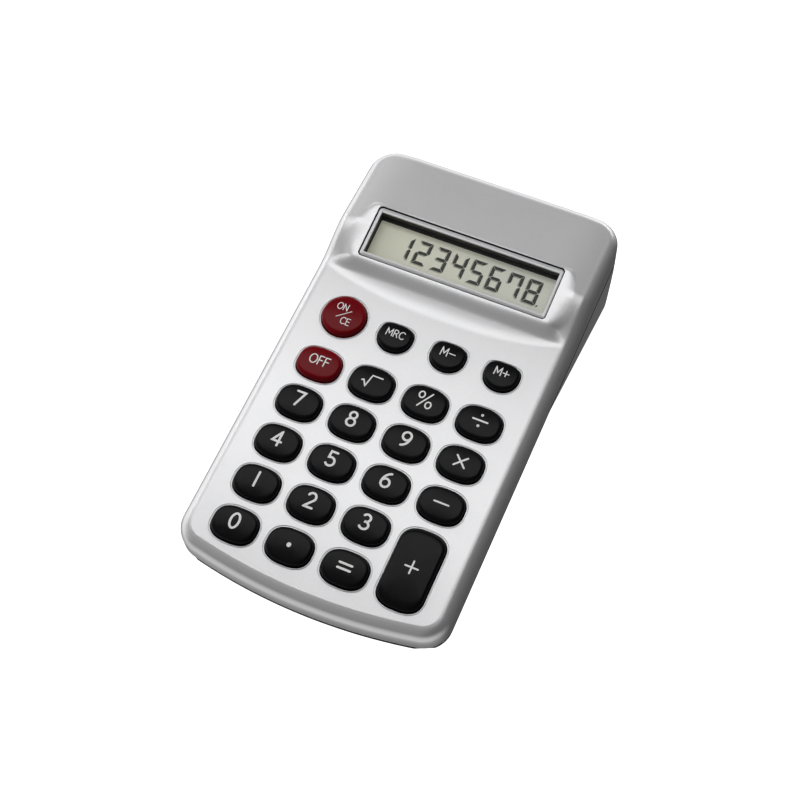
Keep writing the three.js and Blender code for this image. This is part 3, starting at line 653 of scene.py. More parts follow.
key_black = key_plastic("key_black", (0.0035, 0.0035, 0.004, 1), (0.007, 0.007, 0.008, 1), 0.15)
key_red = key_plastic("key_red", (0.2, 0.001, 0.005, 1), (0.27, 0.002, 0.008, 1), 0.14)
for name, column, row, shape in KEYPAD:
    red = name in ("key_on_clear", "key_off")
    mesh = key_mesh(name, key_place(column, row, shape), shape)
    finish = key_red if red else key_black
    finish_piece("cap_" + name[4:], mesh, [finish], name, [name])

# ------------------------------------------------------------------ key legends
# Plain figures and signs pad-printed in white ink on the caps, all in one thin line of even width.

INK_HEIGHT = 0.022


def bow(x, y, half_x, half_y, start, stop, steps=20):
    """Arc of an ellipse between two angles in degrees."""
    angle = np.radians(np.linspace(start, stop, steps))
    return np.stack([x + half_x * np.cos(angle), y + half_y * np.sin(angle)], -1)


def line(*corners):
    """Straight strokes from corner to corner."""
    return np.array(corners, float)


def join(*parts):
    """Arcs and lines drawn without lifting the pen."""
    return np.concatenate(parts)


# every sign is (advance, strokes), one unit high
SIGNS = {
    "0": (0.66, [bow(0.33, 0.5, 0.27, 0.48, 90, 450, 40)]),
    "1": (0.3, [line((0.15, 0.02), (0.15, 0.98))]),
    "2": (0.64, [join(bow(0.31, 0.7, 0.25, 0.28, 158, -32), line((0.06, 0.02), (0.58, 0.02)))]),
    "3": (0.62, [join(bow(0.27, 0.74, 0.24, 0.24, 145, -88), bow(0.27, 0.26, 0.28, 0.25, 88, -148))]),
    "4": (0.68, [line((0.62, 0.3), (0.04, 0.3), (0.45, 0.98), (0.45, 0.02))]),
    "5": (0.62, [join(line((0.52, 0.98), (0.12, 0.98), (0.1, 0.56)),
                      bow(0.27, 0.31, 0.28, 0.29, 118, -142))]),
    "6": (0.66, [join(bow(0.62, 0.3, 0.56, 0.69, 102, 180), bow(0.33, 0.3, 0.27, 0.28, 180, -180, 34))]),
    "7": (0.62, [line((0.04, 0.98), (0.58, 0.98), (0.22, 0.02))]),
    "8": (0.66, [bow(0.33, 0.75, 0.22, 0.23, -90, 270, 30), bow(0.33, 0.26, 0.27, 0.26, 90, 450, 34)]),
    "9": (0.66, [join(bow(0.04, 0.7, 0.56, 0.69, -78, 0), bow(0.33, 0.7, 0.27, 0.28, 0, 360, 34))]),
    "O": (0.86, [bow(0.43, 0.5, 0.36, 0.48, 90, 450, 40)]),
    "N": (0.8, [line((0.12, 0.02), (0.12, 0.98), (0.66, 0.02), (0.66, 0.98))]),
    "C": (0.76, [bow(0.45, 0.5, 0.36, 0.48, 48, 312, 30)]),
    "E": (0.64, [line((0.54, 0.98), (0.12, 0.98), (0.12, 0.02), (0.56, 0.02)),
                 line((0.12, 0.52), (0.5, 0.52))]),
    "F": (0.62, [line((0.54, 0.98), (0.12, 0.98), (0.12, 0.02)), line((0.12, 0.52), (0.48, 0.52))]),
    "M": (0.92, [line((0.1, 0.02), (0.14, 0.98), (0.46, 0.28), (0.78, 0.98), (0.82, 0.02))]),
    "R": (0.72, [join(line((0.12, 0.02), (0.12, 0.98), (0.34, 0.98)), bow(0.34, 0.74, 0.23, 0.24, 90, -90),
                      line((0.12, 0.5))), line((0.36, 0.5), (0.62, 0.02))]),
    "minus": (0.86, [line((0.1, 0.46), (0.76, 0.46))]),
    "plus": (0.86, [line((0.1, 0.46), (0.76, 0.46)), line((0.43, 0.13), (0.43, 0.79))]),
    "times": (0.86, [line((0.15, 0.18), (0.71, 0.74)), line((0.15, 0.74), (0.71, 0.18))]),
    "divide": (0.9, [line((0.08, 0.46), (0.82, 0.46)), bow(0.45, 0.76, 0.025, 0.025, 0, 360, 12),
                     bow(0.45, 0.16, 0.025, 0.025, 0, 360, 12)]),
    "equals": (0.86, [line((0.1, 0.6), (0.76, 0.6)), line((0.1, 0.32), (0.76, 0.32))]),
    "point": (0.3, [line((0.15, 0.3), (0.15, 0.33))]),
    "slash": (1.0, [line((0.0, 0.08), (1.0, 0.92))]),
    "root": (1.25, [line((0.05, 0.36), (0.16, 0.42), (0.38, 0.04), (0.56, 0.84), (1.2, 0.84))]),
    "percent": (1.0, [line((0.2, 0.02), (0.8, 0.98)), bow(0.22, 0.76, 0.16, 0.2, 0, 360, 22),
                      bow(0.78, 0.24, 0.16, 0.2, 0, 360, 22)]),
}


def resampled(path, spacing):
    """The path walked at even steps, keeping its corners close."""
    step = np.hypot(*np.diff(path, axis=0).T)
    walked = np.concatenate([[0], np.cumsum(step)])
    marks = np.linspace(0, walked[-1], max(3, int(walked[-1] / spacing) + 1))
    marks = np.unique(np.concatenate([marks, walked]).round(6))
    return np.stack([np.interp(marks, walked, path[:, 0]), np.interp(marks, walked, path[:, 1])], -1)


def printed_stroke(path, width):
    """Left and right edges of a drawn line: half the width to both sides of the path, mitred where it
    turns, closed at its ends by half circles."""
    path = resampled(path, 0.14)
    path = path[np.concatenate([[True], np.hypot(*np.diff(path, axis=0).T) > 1e-5])]
    heading = np.diff(path, axis=0)
    heading /= np.hypot(*heading.T)[:, None]
    closed = np.hypot(*(path[0] - path[-1])) < 1e-4
    before = np.concatenate([heading[-1:] if closed else heading[:1], heading])
    after = np.concatenate([heading, heading[:1] if closed else heading[-1:]])
    mean = before + after
    mean /= np.hypot(*mean.T)[:, None]
    mitre = np.minimum(1 / np.maximum(np.sum(mean * after, -1), 0.3), 1.7)
    half = np.full(len(path), width / 2) * mitre
    if not closed:
        angle = np.radians(np.linspace(85, 0, 6, endpoint=False))
        start = path[0] - heading[0] * (width / 2 * np.sin(angle))[:, None]
        end = path[-1] + heading[-1] * (width / 2 * np.sin(angle[::-1]))[:, None]
        cap = width / 2 * np.cos(angle)
        path = np.concatenate([start, path, end])
        half = np.concatenate([cap, half, cap[::-1]])
        lead = np.repeat(mean[:1], 6, 0)
        tail = np.repeat(mean[-1:], 6, 0)
        mean = np.concatenate([lead, mean, tail])
    sideways = np.stack([-mean[:, 1], mean[:, 0]], -1) * half[:, None]
    return np.stack([path + sideways, path - sideways], 1)


def cap_reach(x, y, shape):
    """How far a point of a cap is from its middle, 1 at the skirt: the oval's own formula turned round."""
    a, upper, lower, upper_power, lower_power, stretch = OVALS[shape]
    straight = np.sign(y) * np.maximum(0, np.abs(y) - stretch)
    power = np.where(y > 0, upper_power, lower_power)
    b = np.where(y > 0, upper, lower) - KEY_CLEARANCE
    return (np.abs(x / (a - KEY_CLEARANCE)) ** power + np.abs(straight / b) ** power) ** (1 / power)


def legend_mesh(name, centre, shape, words):
    """Strokes of the words, each (signs, x, y, height, width of line), laid on the dome of the cap, every
    stroke a hair above the one before."""
    points = []
    faces = []
    lift = 0.0
    start = 0
    for signs, x, y, height, width in words:
        total = sum(SIGNS[sign][0] for sign in signs) * height
        pen = x - total / 2
        for sign in signs:
            advance, strokes = SIGNS[sign]
            for stroke in strokes:
                edges = printed_stroke(stroke * height + [pen, y - height / 2], width)
                flat = edges.reshape(-1, 2)
                top = cap_height(cap_reach(flat[:, 0], flat[:, 1], shape)) + INK_HEIGHT + lift
                points.append(raised(flat + centre, top))
                faces += quads(np.arange(len(flat)).reshape(-1, 2) + start).tolist()
                start += len(flat)
                lift += 0.0015
            pen += advance * height
    return mesh_of(name, np.concatenate(points), faces, closed=False)


LEGENDS = {
    "key_on_clear": [
        ("ON", -0.95, 1.8, 1.75, 0.21),
        (("slash",), 0.0, 0.05, 2.9, 0.19),
        ("CE", 1.05, -1.6, 1.75, 0.21),
    ],
    "key_memory_recall": [("MRC", 0.0, 0.3, 1.9, 0.23)],
    "key_memory_minus": [(("M", "minus"), 0.0, 0.3, 2.1, 0.25)],
    "key_memory_plus": [(("M", "plus"), 0.0, 0.3, 2.1, 0.25)],
    "key_off": [("OFF", 0.0, 0.45, 2.35, 0.27)],
    "key_square_root": [(("root",), 0.0, 0.2, 3.8, 0.32)],
    "key_percent": [(("percent",), -0.1, 0.35, 4.0, 0.34)],
    "key_divide": [(("divide",), 0.1, 0.5, 4.6, 0.42)],
    "key_multiply": [(("times",), 0.0, 0.3, 4.4, 0.42)],
    "key_minus": [(("minus",), 0.0, 0.3, 5.0, 0.4)],
    "key_plus": [(("plus",), 0.0, 0.3, 4.4, 0.38)],
    "key_equals": [(("equals",), 0.0, 0.3, 4.4, 0.5)],
    "key_point": [(("point",), 0.0, 0.8, 4.3, 0.95)],
}
# painted light: a faint glow from the ink's own white makes it read brighter than its lighting
ink, ink_shader, place = start_finish("white_ink_painted_glow", Emission_Strength=0.16, IOR=1.45)
speck = place.noise(3.5, 3, 0.6)
thin = place.noise(1.2, 2)
white = (speck * 0.5 + thin * 0.5).tint((0.88, 0.88, 0.87, 1), (0.98, 0.98, 0.97, 1))
wire_up(
    ink_shader,
    Base_Color=white,
    Emission_Color=white,
    Roughness=0.42 + speck * 0.16,
    Normal=speck.bump(0.006),
)
for name, column, row, shape in KEYPAD:
    words = LEGENDS.get(name) or [(name[-1], -0.1, 0.5, 3.6, 0.52)]
    print_mesh = legend_mesh(name, key_place(column, row, shape), shape, words)
    slot_name = "key_red" if shape == "round" or name == "key_off" else "key_black"
    finish_piece("print_" + name[4:], print_mesh, [ink], name)

# ------------------------------------------------------------------ window frame
# A thin silver frame moulded apart, set flush in the leaning window with a gap round it whose walls are
# painted dark as shade. Inside it is black and drops straight to the display.


def hoop(loops):
    """Closed skin of a ring-shaped piece: nested loops joined in turn, the last one to the first."""
    loops = np.array(loops)
    rows, count = loops.shape[:2]
    numbers = np.arange(rows * count).reshape(rows, count)
    numbers = np.concatenate([numbers, numbers[:1]])
    numbers = np.concatenate([numbers, numbers[:, :1]], 1)
    return loops.reshape(-1, 3), quads(numbers).tolist()


BORDER_X = 0.85
BORDER_Y = 1.15
frame_profile = [(0.0, 0.0, -1.6), (0.0, 0.0, -0.16), (0.05, 0.05, -0.05), (0.16, 0.16, 0.0)]
frame_profile += [(BORDER_X - 0.1, BORDER_Y - 0.1, 0.0), (BORDER_X, BORDER_Y, -0.1)]
frame_profile += [(BORDER_X + 0.02, BORDER_Y + 0.02, -0.24), (BORDER_X + 0.02, BORDER_Y + 0.02, -1.6)]
frame_loops = []
for inset_x, inset_y, height in frame_profile:
    ring = rounded_ring(WINDOW_HALF[0] - inset_x, WINDOW_HALF[1] - inset_y, max(0.15, 0.85 - inset_x))
    frame_loops.append(raised(ring, height))
frame_points, frame_faces = hoop(frame_loops)
frame_mesh = mesh_of("window_frame", in_window(frame_points), frame_faces)
frame_silver = silver_paint("frame_silver", (0.74, 0.74, 0.75, 1), (0.66, 0.66, 0.67, 1), 0.36, 0.5)


def black_moulding(name, colour=(0.012, 0.012, 0.013, 1), paler=(0.022, 0.022, 0.022, 1), roughness=0.5):
    """Plain black moulding: fine erosion grain with slight clouding."""
    material, shader, place = start_finish(name, IOR=1.47)
    grain = place.noise(5.0, 3)
    cloud = place.noise(0.12, 2)
    wire_up(
        shader,
        Base_Color=(cloud * 0.5 + grain * 0.5).tint(colour, paler),
        Roughness=roughness + grain * 0.12,
        Normal=grain.bump(0.014),
    )
    return material


well_black_and_gap_shade = black_moulding("well_black_and_gap_shade", (0.022, 0.022, 0.022, 1), (0.034, 0.034, 0.033, 1))
finishes = [frame_silver, well_black_and_gap_shade]
finish_piece("window_frame", frame_mesh, finishes, "case", ["display_bezel"])
# the inner walls are black moulding; the outer walls, facing the gap, are painted dark as shade
middles = off_window(on_case(frame_mesh))
reach = np.array([WINDOW_HALF[0] - BORDER_X, WINDOW_HALF[1] - BORDER_Y]) + 0.03
inner_wall = (np.abs(middles[:, :2]) < reach).all(-1) & (middles[:, 2] < -0.2)
outer_wall = ~(np.abs(middles[:, :2]) < np.array(WINDOW_HALF) - 0.02).all(-1) & (middles[:, 2] < -0.2)
frame_mesh.polygons.foreach_set("material_index", (inner_wall | outer_wall).astype(np.int32))

# ------------------------------------------------------------------ lens
# Clear acrylic plate behind the frame, with a black printed border that hides everything round the display.

LENS_TOP = -1.95


def plate_rings(half_x, half_y, radius, bottom, top, edge):
    """Rings of a flat plate with rounded corners and edges eased by a quarter circle."""
    levels = []
    for angle in np.radians([0, 30, 60, 90]):
        levels.append((edge * (1 - math.sin(angle)), bottom + edge * (1 - math.cos(angle))))
    for angle in np.radians([90, 60, 30, 0]):
        levels.append((edge * (1 - math.sin(angle)), top - edge * (1 - math.cos(angle))))
    return [raised(rounded_ring(half_x - i, half_y - i, radius - i * 0.5), z) for i, z in levels]


clear, clear_shader, place = start_finish("lens_clear", IOR=1.49, Specular_IOR_Level=0.2)
smear = place.noise(0.09, 4, 0.6)
dust = place.noise(6.0, 2).between(0.74, 0.8)
wire_up(
    clear_shader,
    Base_Color=smear.tint((0.78, 0.8, 0.79, 1), (0.88, 0.89, 0.88, 1)),
    Roughness=0.04 + smear * 0.06,
    Alpha=0.02 + smear * 0.02 + dust * 0.03,
)
lens_points, lens_faces = skin(plate_rings(24.4, 7.6, 0.6, LENS_TOP - 0.8, LENS_TOP, 0.12))
lens_mesh = mesh_of("window_lens", in_window(lens_points), lens_faces)
lens = finish_piece("window_lens", lens_mesh, [clear], "case", ["display_lens"])
lens.visible_shadow = False

gasket_outer = (24.3, 7.5)
gasket_inner = (WINDOW_HALF[0] - BORDER_X - 0.04, WINDOW_HALF[1] - BORDER_Y - 0.04)
gasket_points, gasket_faces = hoop(
    [
        raised(rounded_ring(*gasket_outer, 0.5), LENS_TOP + 0.02),
        raised(rounded_ring(*gasket_inner, 0.3), LENS_TOP + 0.02),
        raised(rounded_ring(*gasket_inner, 0.3), LENS_TOP + 0.3),
        raised(rounded_ring(*gasket_outer, 0.5), LENS_TOP + 0.3),
    ]
)
gasket_mesh = mesh_of("lens_gasket", in_window(gasket_points), gasket_faces)
gasket_black = black_moulding("gasket_black", roughness=0.7)
finish_piece("lens_gasket", gasket_mesh, [gasket_black], "case")

# ------------------------------------------------------------------ display
# Liquid-crystal glass: two plates with a filled edge, grey-green with the reflector behind, given a
# painted glow and painted lighter towards the left where more light falls. Eight dark figures of seven
# bars show 1 to 8, and each throws a faint shadow on the reflector below.

GLASS_TOP = LENS_TOP - 0.8 - GAP
GLASS_THICKNESS = 1.5

# painted light: the glass glows faintly, and its tint is painted lighter to the left; the cloud is its
# mottling
lcd, lcd_shader, place = start_finish("lcd_grey", Emission_Strength=0.17, IOR=1.5, Specular_IOR_Level=0.3)
cloud = place.noise(0.07, 3)
fine = place.noise(9.0, 2)
across_glass = place.node("SeparateXYZ", {}, {0: place}, 0)
painted_left_light_and_cloud = (across_glass * -0.024 + 0.42) * 0.6 + cloud * 0.4
grey_green = painted_left_light_and_cloud.tint((0.76, 0.78, 0.7, 1), (0.93, 0.92, 0.72, 1))
wire_up(
    lcd_shader,
    Base_Color=grey_green,
    Emission_Color=grey_green,
    Roughness=0.22 + fine * 0.08,
    Normal=fine.bump(0.004),
)
glass_points, glass_faces = skin(plate_rings(24.9, 7.5, 0.4, GLASS_TOP - GLASS_THICKNESS, GLASS_TOP, 0.1))
glass_mesh = mesh_of("display_glass", in_window(glass_points), glass_faces)
finish_piece("display_glass", glass_mesh, [lcd], "case", ["lcd_glass"])

# a black mask lies on the glass round the figures
mask_profile = [(24.6, 7.3, 0.02), (22.4, 5.0, 0.02), (22.4, 5.0, 0.2), (24.6, 7.3, 0.2)]
mask_loops = [raised(rounded_ring(x, y, 0.3) + [0, -0.12], GLASS_TOP + z) for x, y, z in mask_profile]
mask_points, mask_faces = hoop(mask_loops)
mask_mesh = mesh_of("display_mask", in_window(mask_points), mask_faces)
finish_piece("display_mask", mask_mesh, [gasket_black], "case")

FIGURE_WIDTH = 3.4
FIGURE_HEIGHT = 6.2
FIGURE_PITCH = 4.6
LAST_FIGURE_X = 17.65
FIGURE_Y = 0.15
BAR = 0.8
BAR_GAP = 0.07
BARS = ["bc", "abged", "abgcd", "fgbc", "afgcd", "afgedc", "fabc", "abcdefg"]


def bar(letter):
    """Outline of one bar of a figure about its centre: a strip with pointed or mitred ends."""
    w = FIGURE_WIDTH / 2
    h = FIGURE_HEIGHT / 2
    t = BAR
    g = BAR_GAP
    if letter == "a":
        return np.array([(-w + g, h), (-w + t + g, h - t), (w - t - g, h - t), (w - g, h)])
    if letter == "d":
        return bar("a")[::-1] * [1, -1]
    if letter == "g":
        lower = [(-w + g + t * 0.4, 0), (-w + t + g, -t / 2), (w - t - g, -t / 2), (w - g - t * 0.4, 0)]
        return np.array(lower + [(w - t - g, t / 2), (-w + t + g, t / 2)])
    upper = [(w, h - g), (w - t, h - t - g), (w - t, t / 2 + g), (w - t * 0.35, g), (w, t * 0.3 + g)]
    upper = np.array(upper)
    if letter == "b":
        return upper
    if letter == "f":
        return upper[::-1] * [-1, 1]
    if letter == "c":
        return upper[::-1] * [1, -1]
    return upper * [-1, -1]


def figures(height, shift):
    """All bars of the eight figures as flat faces at one height, moved by `shift`."""
    points = []
    faces = []
    start = 0
    for place_number, letters in enumerate(BARS):
        centre = np.array([LAST_FIGURE_X - (7 - place_number) * FIGURE_PITCH, FIGURE_Y]) + shift
        for letter in letters:
            shape = bar(letter)
            area = np.sum(shape[:, 0] * np.roll(shape[:, 1], -1) - np.roll(shape[:, 0], -1) * shape[:, 1])
            shape = shape if area > 0 else shape[::-1]
            points.append(raised(shape + centre, height))
            faces.append((np.arange(len(shape)) + start).tolist())
            start += len(shape)
    dot_place = [LAST_FIGURE_X + FIGURE_WIDTH / 2 + 0.5, FIGURE_Y - 2.95]
    dot = rounded_ring(0.19, 0.19, 0.12, 3) + dot_place + shift
    points.append(raised(dot, height))
    faces.append((np.arange(len(dot)) + start).tolist())
    return np.concatenate(points), faces


def bar_finish(name, colour, paler, opacity):
    """Switched liquid crystal: dark grey-green, a little uneven, and slightly see-through."""
    material, shader, place = start_finish(name, IOR=1.45, Specular_IOR_Level=0.2)
    uneven = place.noise(2.2, 3)
    wire_up(
        shader,
        Base_Color=uneven.tint(colour, paler),
        Roughness=0.3 + uneven * 0.1,
        Alpha=opacity - 0.05 + uneven * 0.1,
    )
    return material


shadow_points, shadow_faces = figures(GLASS_TOP + 0.03, np.array([-0.22, -0.3]))
shadow_mesh = mesh_of("figure_shadows", in_window(shadow_points), shadow_faces, closed=False)
shadow_grey = bar_finish("figure_shadow", (0.2, 0.21, 0.17, 1), (0.24, 0.25, 0.2, 1), 0.34)
finish_piece("figure_shadows", shadow_mesh, [shadow_grey], "case")
figure_points, figure_faces = figures(GLASS_TOP + 0.06, np.array([0.0, 0.0]))
figure_mesh = mesh_of("figures", in_window(figure_points), figure_faces, closed=False)
figure_dark = bar_finish("figure_dark", (0.02, 0.025, 0.018, 1), (0.035, 0.04, 0.03, 1), 0.95)
finish_piece("figures", figure_mesh, [figure_dark], "case")

# ------------------------------------------------------------------ rear shell
# Lower half of the case in the same silver ABS. It is shallow under the keys and deepens in a wedge towards
# the display end, with a rounded lower rim, four screw wells and the opening of the battery door.

REAR_TOP = -6.95
KEYPAD_BASE = -8.6
WEDGE_START = 8.0
WEDGE_END = 49.0
WEDGE_BOTTOM = -23.0
WEDGE_SLOPE = (KEYPAD_BASE - WEDGE_BOTTOM) / (WEDGE_END - WEDGE_START)
WEDGE_ANGLE = math.atan(WEDGE_SLOPE)
BASE_EDGE = 1.6
BASE_END = 50.6
EDGE_FLARE = 3.0
WALL_FLARE = DISPLAY_END - BASE_END - EDGE_FLARE


def base_height(y):
    """Underside: level, then a straight slope, then level again, each turn eased over a millimetre."""
    first = 0.5 * (y - WEDGE_START + np.sqrt((y - WEDGE_START) ** 2 + 0.3))
    second = 0.5 * (y - WEDGE_END + np.sqrt((y - WEDGE_END) ** 2 + 0.15))
    return KEYPAD_BASE - (first - second) * WEDGE_SLOPE


rear_across = np.concatenate([[-corner_reach], np.linspace(-CORNER_X, CORNER_X, 42), [corner_reach]])
rear_lengthwise = np.concatenate(
    [
        KEYPAD_CORNER_Y - corner_drop * np.linspace(1, 0, 7),
        np.linspace(KEYPAD_CORNER_Y, 5, 18)[1:],
        np.linspace(5, 11, 16)[1:],
        np.linspace(11, DISPLAY_CORNER_Y, 30)[1:],
        DISPLAY_CORNER_Y + corner_drop * np.linspace(0, 1, 8)[1:],
    ]
)


def rear_solid(inset, floor_rise, top, edge):
    """Base patch, a quarter circle up round its lower rim, and walls that lean out to the parting line.
    The outer one has a stepped edge there, which leaves a groove between the two shells, painted dark as
    shade."""
    low_plan = patch(*outline(rear_across, rear_lengthwise, inset + edge, BASE_END - inset))
    base = raised(low_plan, base_height(low_plan[..., 1]) + floor_rise)
    bands = []
    for angle in np.radians(np.linspace(12, 90, 7)):
        end = BASE_END + EDGE_FLARE * math.sin(angle) - inset * 0.5
        plan = around(*outline(rear_across, rear_lengthwise, inset + edge * (1 - math.sin(angle)), end))
        bands.append(raised(plan, base_height(plan[:, 1]) + floor_rise + edge * (1 - math.cos(angle))))
    for share in np.linspace(0.15, 1, 7):
        run_out = EDGE_FLARE + WALL_FLARE * math.sin(share * math.pi / 2)
        end = BASE_END + run_out - inset * 0.5 * (1 - share)
        plan = around(*outline(rear_across, rear_lengthwise, inset, end))
        low = base_height(plan[:, 1]) + floor_rise + edge
        bands.append(raised(plan, low + (top - low) * share))
    if edge == BASE_EDGE:
        bands[-1][:, 2] = top - PARTING_STEP
        for more, drop in [(0.05, 0.2), (0.16, 0.08)]:
            plan = around(*outline(rear_across, rear_lengthwise, more, DISPLAY_END))
            bands.append(raised(plan, top - drop))
        inset = PARTING_INSET
    top_plan = patch(*outline(rear_across, rear_lengthwise, inset, DISPLAY_END))
    return tray(raised(top_plan, top), bands[::-1], base)


rear_outside = mesh_of("rear_outside", *rear_solid(0.0, 0.0, REAR_TOP, BASE_EDGE))
rear_inside = mesh_of("rear_inside", *rear_solid(WALL, 1.5, REAR_TOP + 1.0, 0.6))


def on_slope(points):
    """Points of the sloping underside, whose y runs down the slope from the start of the wedge and whose
    z = 0 is the outer surface, turned and moved into the case."""
    y = points[..., 1] * math.cos(WEDGE_ANGLE) + points[..., 2] * math.sin(WEDGE_ANGLE) + WEDGE_START
    z = points[..., 2] * math.cos(WEDGE_ANGLE) - points[..., 1] * math.sin(WEDGE_ANGLE) + KEYPAD_BASE
    return np.stack([points[..., 0], y, z], -1)


def slope_box(x0, y0, z0, x1, y1, z1, radius=0.0):
    """Block on the sloping underside with rounded upright edges."""
    half_x = (x1 - x0) / 2
    half_y = (y1 - y0) / 2
    ring = rounded_ring(half_x, half_y, max(radius, 0.05), 6) + [(x0 + x1) / 2, (y0 + y1) / 2]
    return skin(on_slope(np.array([raised(ring, z0), raised(ring, z1)])))


DOOR_HALF = 20.0
DOOR_RAIL = 21.5
DOOR_THICKNESS = 1.5
DOOR_START = (33.0 - WEDGE_START) / math.cos(WEDGE_ANGLE)
FAR = 70.0
mouth = slope_box(-DOOR_HALF - GAP, DOOR_START, -5, DOOR_HALF + GAP, FAR, DOOR_THICKNESS + 0.1, 0.8)
channel = slope_box(-DOOR_RAIL - GAP, DOOR_START, DOOR_THICKNESS, DOOR_RAIL + GAP, FAR, 2.9, 0.4)


def screw_seat(y):
    """Height at which the head of a case screw bears."""
    straight = KEYPAD_BASE - max(0.0, y - WEDGE_START) * WEDGE_SLOPE
    return min(KEYPAD_BASE + 1.6, straight + 2.1)


wells = []
for x, y in CASE_SCREWS:
    seat = screw_seat(y)
    wells.append(turned([(2.45, -26.0), (2.3, seat - 1.9), (2.1, seat - 1.6), (2.1, seat)], x, y, count=40))
well_cutters = [mesh_of("wells", *together(*wells))]
door_cutters = [mesh_of("mouth", *mouth), mesh_of("channel", *channel)]
rear_mesh = carve(rear_outside, [rear_inside])
pillars = []
for x, y in CASE_SCREWS:
    low = float(base_height(np.array(y))) + 0.9
    pillars.append(turned([(3.0, low), (3.0, REAR_TOP + 0.95)], x, y))
pillar_mesh = mesh_of("pillars", *together(*pillars))
rear_mesh = carve(rear_mesh, [pillar_mesh], "UNION")
bores = [turned([(1.15, screw_seat(y) - 1), (1.15, -4.0)], x, y) for x, y in CASE_SCREWS]
rear_mesh = carve(rear_mesh, [*well_cutters, mesh_of("bores", *together(*bores)), *door_cutters])
rear_silver = silver_paint("rear_silver", (0.8, 0.8, 0.81, 1), (0.7, 0.7, 0.71, 1), 0.42, 0.55)
finishes = [rear_silver, gap_shade]
finish_piece("rear_cover", rear_mesh, finishes, "case", ["rear_shell"], crease=30)
# the faces of the parting groove take the painted gap shade
middles = on_case(rear_mesh)
in_groove = (middles[:, 2] > REAR_TOP - PARTING_STEP) & (middles[:, 2] < REAR_TOP - 0.02)
rear_mesh.polygons.foreach_set("material_index", in_groove.astype(np.int32))

# ------------------------------------------------------------------ battery door
# Sliding door let into the slope under the display. It runs on two side rails, takes the curve of the case
# end, and has ribs across it for the thumb.

plate = slope_box(-DOOR_HALF, DOOR_START + GAP, -5, DOOR_HALF, FAR, DOOR_THICKNESS, 0.6)
door_body = mesh_of("door_body", *rear_solid(0.0, 0.0, REAR_TOP, BASE_EDGE))
door_mesh = carve(door_body.copy(), [mesh_of("door_plate", *plate)], "INTERSECT")
RAIL_END = 43.8
RAIL_TOP = 2.6
rails = []
for side in (-1, 1):
    edges = sorted([side * (DOOR_HALF - 1.6), side * DOOR_RAIL])
    rail_foot = DOOR_THICKNESS + 0.3
    rails.append(slope_box(edges[0], DOOR_START + GAP, rail_foot, edges[1], RAIL_END, RAIL_TOP, 0.3))
    roots = sorted([side * (DOOR_HALF - 1.6), side * (DOOR_HALF - 0.1)])
    rails.append(slope_box(roots[0], DOOR_START + GAP, 1.2, roots[1], RAIL_END, RAIL_TOP - 0.1, 0.3))
rail_mesh = mesh_of("rails", *together(*rails))
# a lip across the end of the door closes the slot that the rails leave by
lips = []
for half, low in [(DOOR_HALF, DOOR_THICKNESS - 0.3), (DOOR_RAIL, DOOR_THICKNESS + 0.3)]:
    block = slope_box(-half, RAIL_END + 0.1, low, half, FAR, RAIL_TOP, 0.3)
    lips.append(carve(door_body.copy(), [mesh_of("lip", *block)], "INTERSECT"))


def thumb_rib(at):
    """Half-round bar across the door: half an ellipse carried along x and drawn in at both ends."""
    reach = np.linspace(-1, 1, 25)
    size = np.sqrt(np.clip(1 - np.abs(reach) ** 8, 0.0004, 1))
    angle = np.linspace(0, 2 * math.pi, 24, endpoint=False)
    y = at + 0.42 * np.cos(angle)[None] * size[:, None]
    z = -0.02 + 0.36 * np.sin(angle)[None] * size[:, None]
    x = np.broadcast_to((reach * 7.0)[:, None], y.shape)
    return skin(on_slope(np.stack([x, y, z], -1)))


ribs = [thumb_rib(at) for at in np.arange(31.0, 41.1, 1.7)]
rib_mesh = mesh_of("ribs", *together(*ribs))
joiner = bmesh.new()
for part in (door_mesh, rail_mesh, rib_mesh, *lips):
    joiner.from_mesh(part)
joiner.to_mesh(door_mesh)
joiner.free()
door_silver = silver_paint("door_silver", (0.78, 0.78, 0.79, 1), (0.68, 0.68, 0.69, 1), 0.44, 0.55)
finish_piece("door", door_mesh, [door_silver], "battery_door", ["battery_door"], crease=30)

# ------------------------------------------------------------------ screws
# Self-tapping pan-head screws in plated steel with a cross recess. Four close the case from below, four
# smaller ones hold the circuit board.


def screw_skin(head_radius, head_height, shank_radius, shank_length):
    """Domed head, neck and a thread r = shank + crest of a saw wave of (height / pitch - angle / turn)."""
    angle = np.linspace(0, 2 * math.pi, 36, endpoint=False)
    head = [(head_radius * 0.86, -head_height)]
    for turn in np.radians([30, 60, 90]):
        wider = head_radius * (0.86 + 0.14 * math.sin(turn))
        head.append((wider, -head_height * 0.5 * (1 + math.cos(turn))))
    head += [(head_radius, -0.04), (head_radius - 0.04, 0.0), (shank_radius * 0.8, 0.0)]
    rings = [np.stack([r * np.cos(angle), r * np.sin(angle), np.full(36, z)], -1) for r, z in head]
    for z in np.linspace(0.1, shank_length - 0.05, int(shank_length * 12)):
        wave = np.abs(((z / 0.62 - angle / (2 * math.pi)) % 1) * 2 - 1) ** 2
        taper = min(1.0, (shank_length - z) / shank_radius)
        r = shank_radius * (0.72 + 0.28 * wave) * (0.25 + 0.75 * taper)
        rings.append(np.stack([r * np.cos(angle), r * np.sin(angle), np.full(36, z)], -1))
    return skin(rings)


def cross_cutter(size, depth, low):
    """Cross recess: two tapered bars that narrow upwards into the head."""
    bars = []
    for long_x, long_y in ((size, size * 0.3), (size * 0.3, size)):
        wide = rounded_ring(long_x, long_y, 0.04, 2)
        bars.append(skin([raised(wide, low - 0.5), raised(wide, low), raised(wide * 0.62, low + depth)]))
    return bars


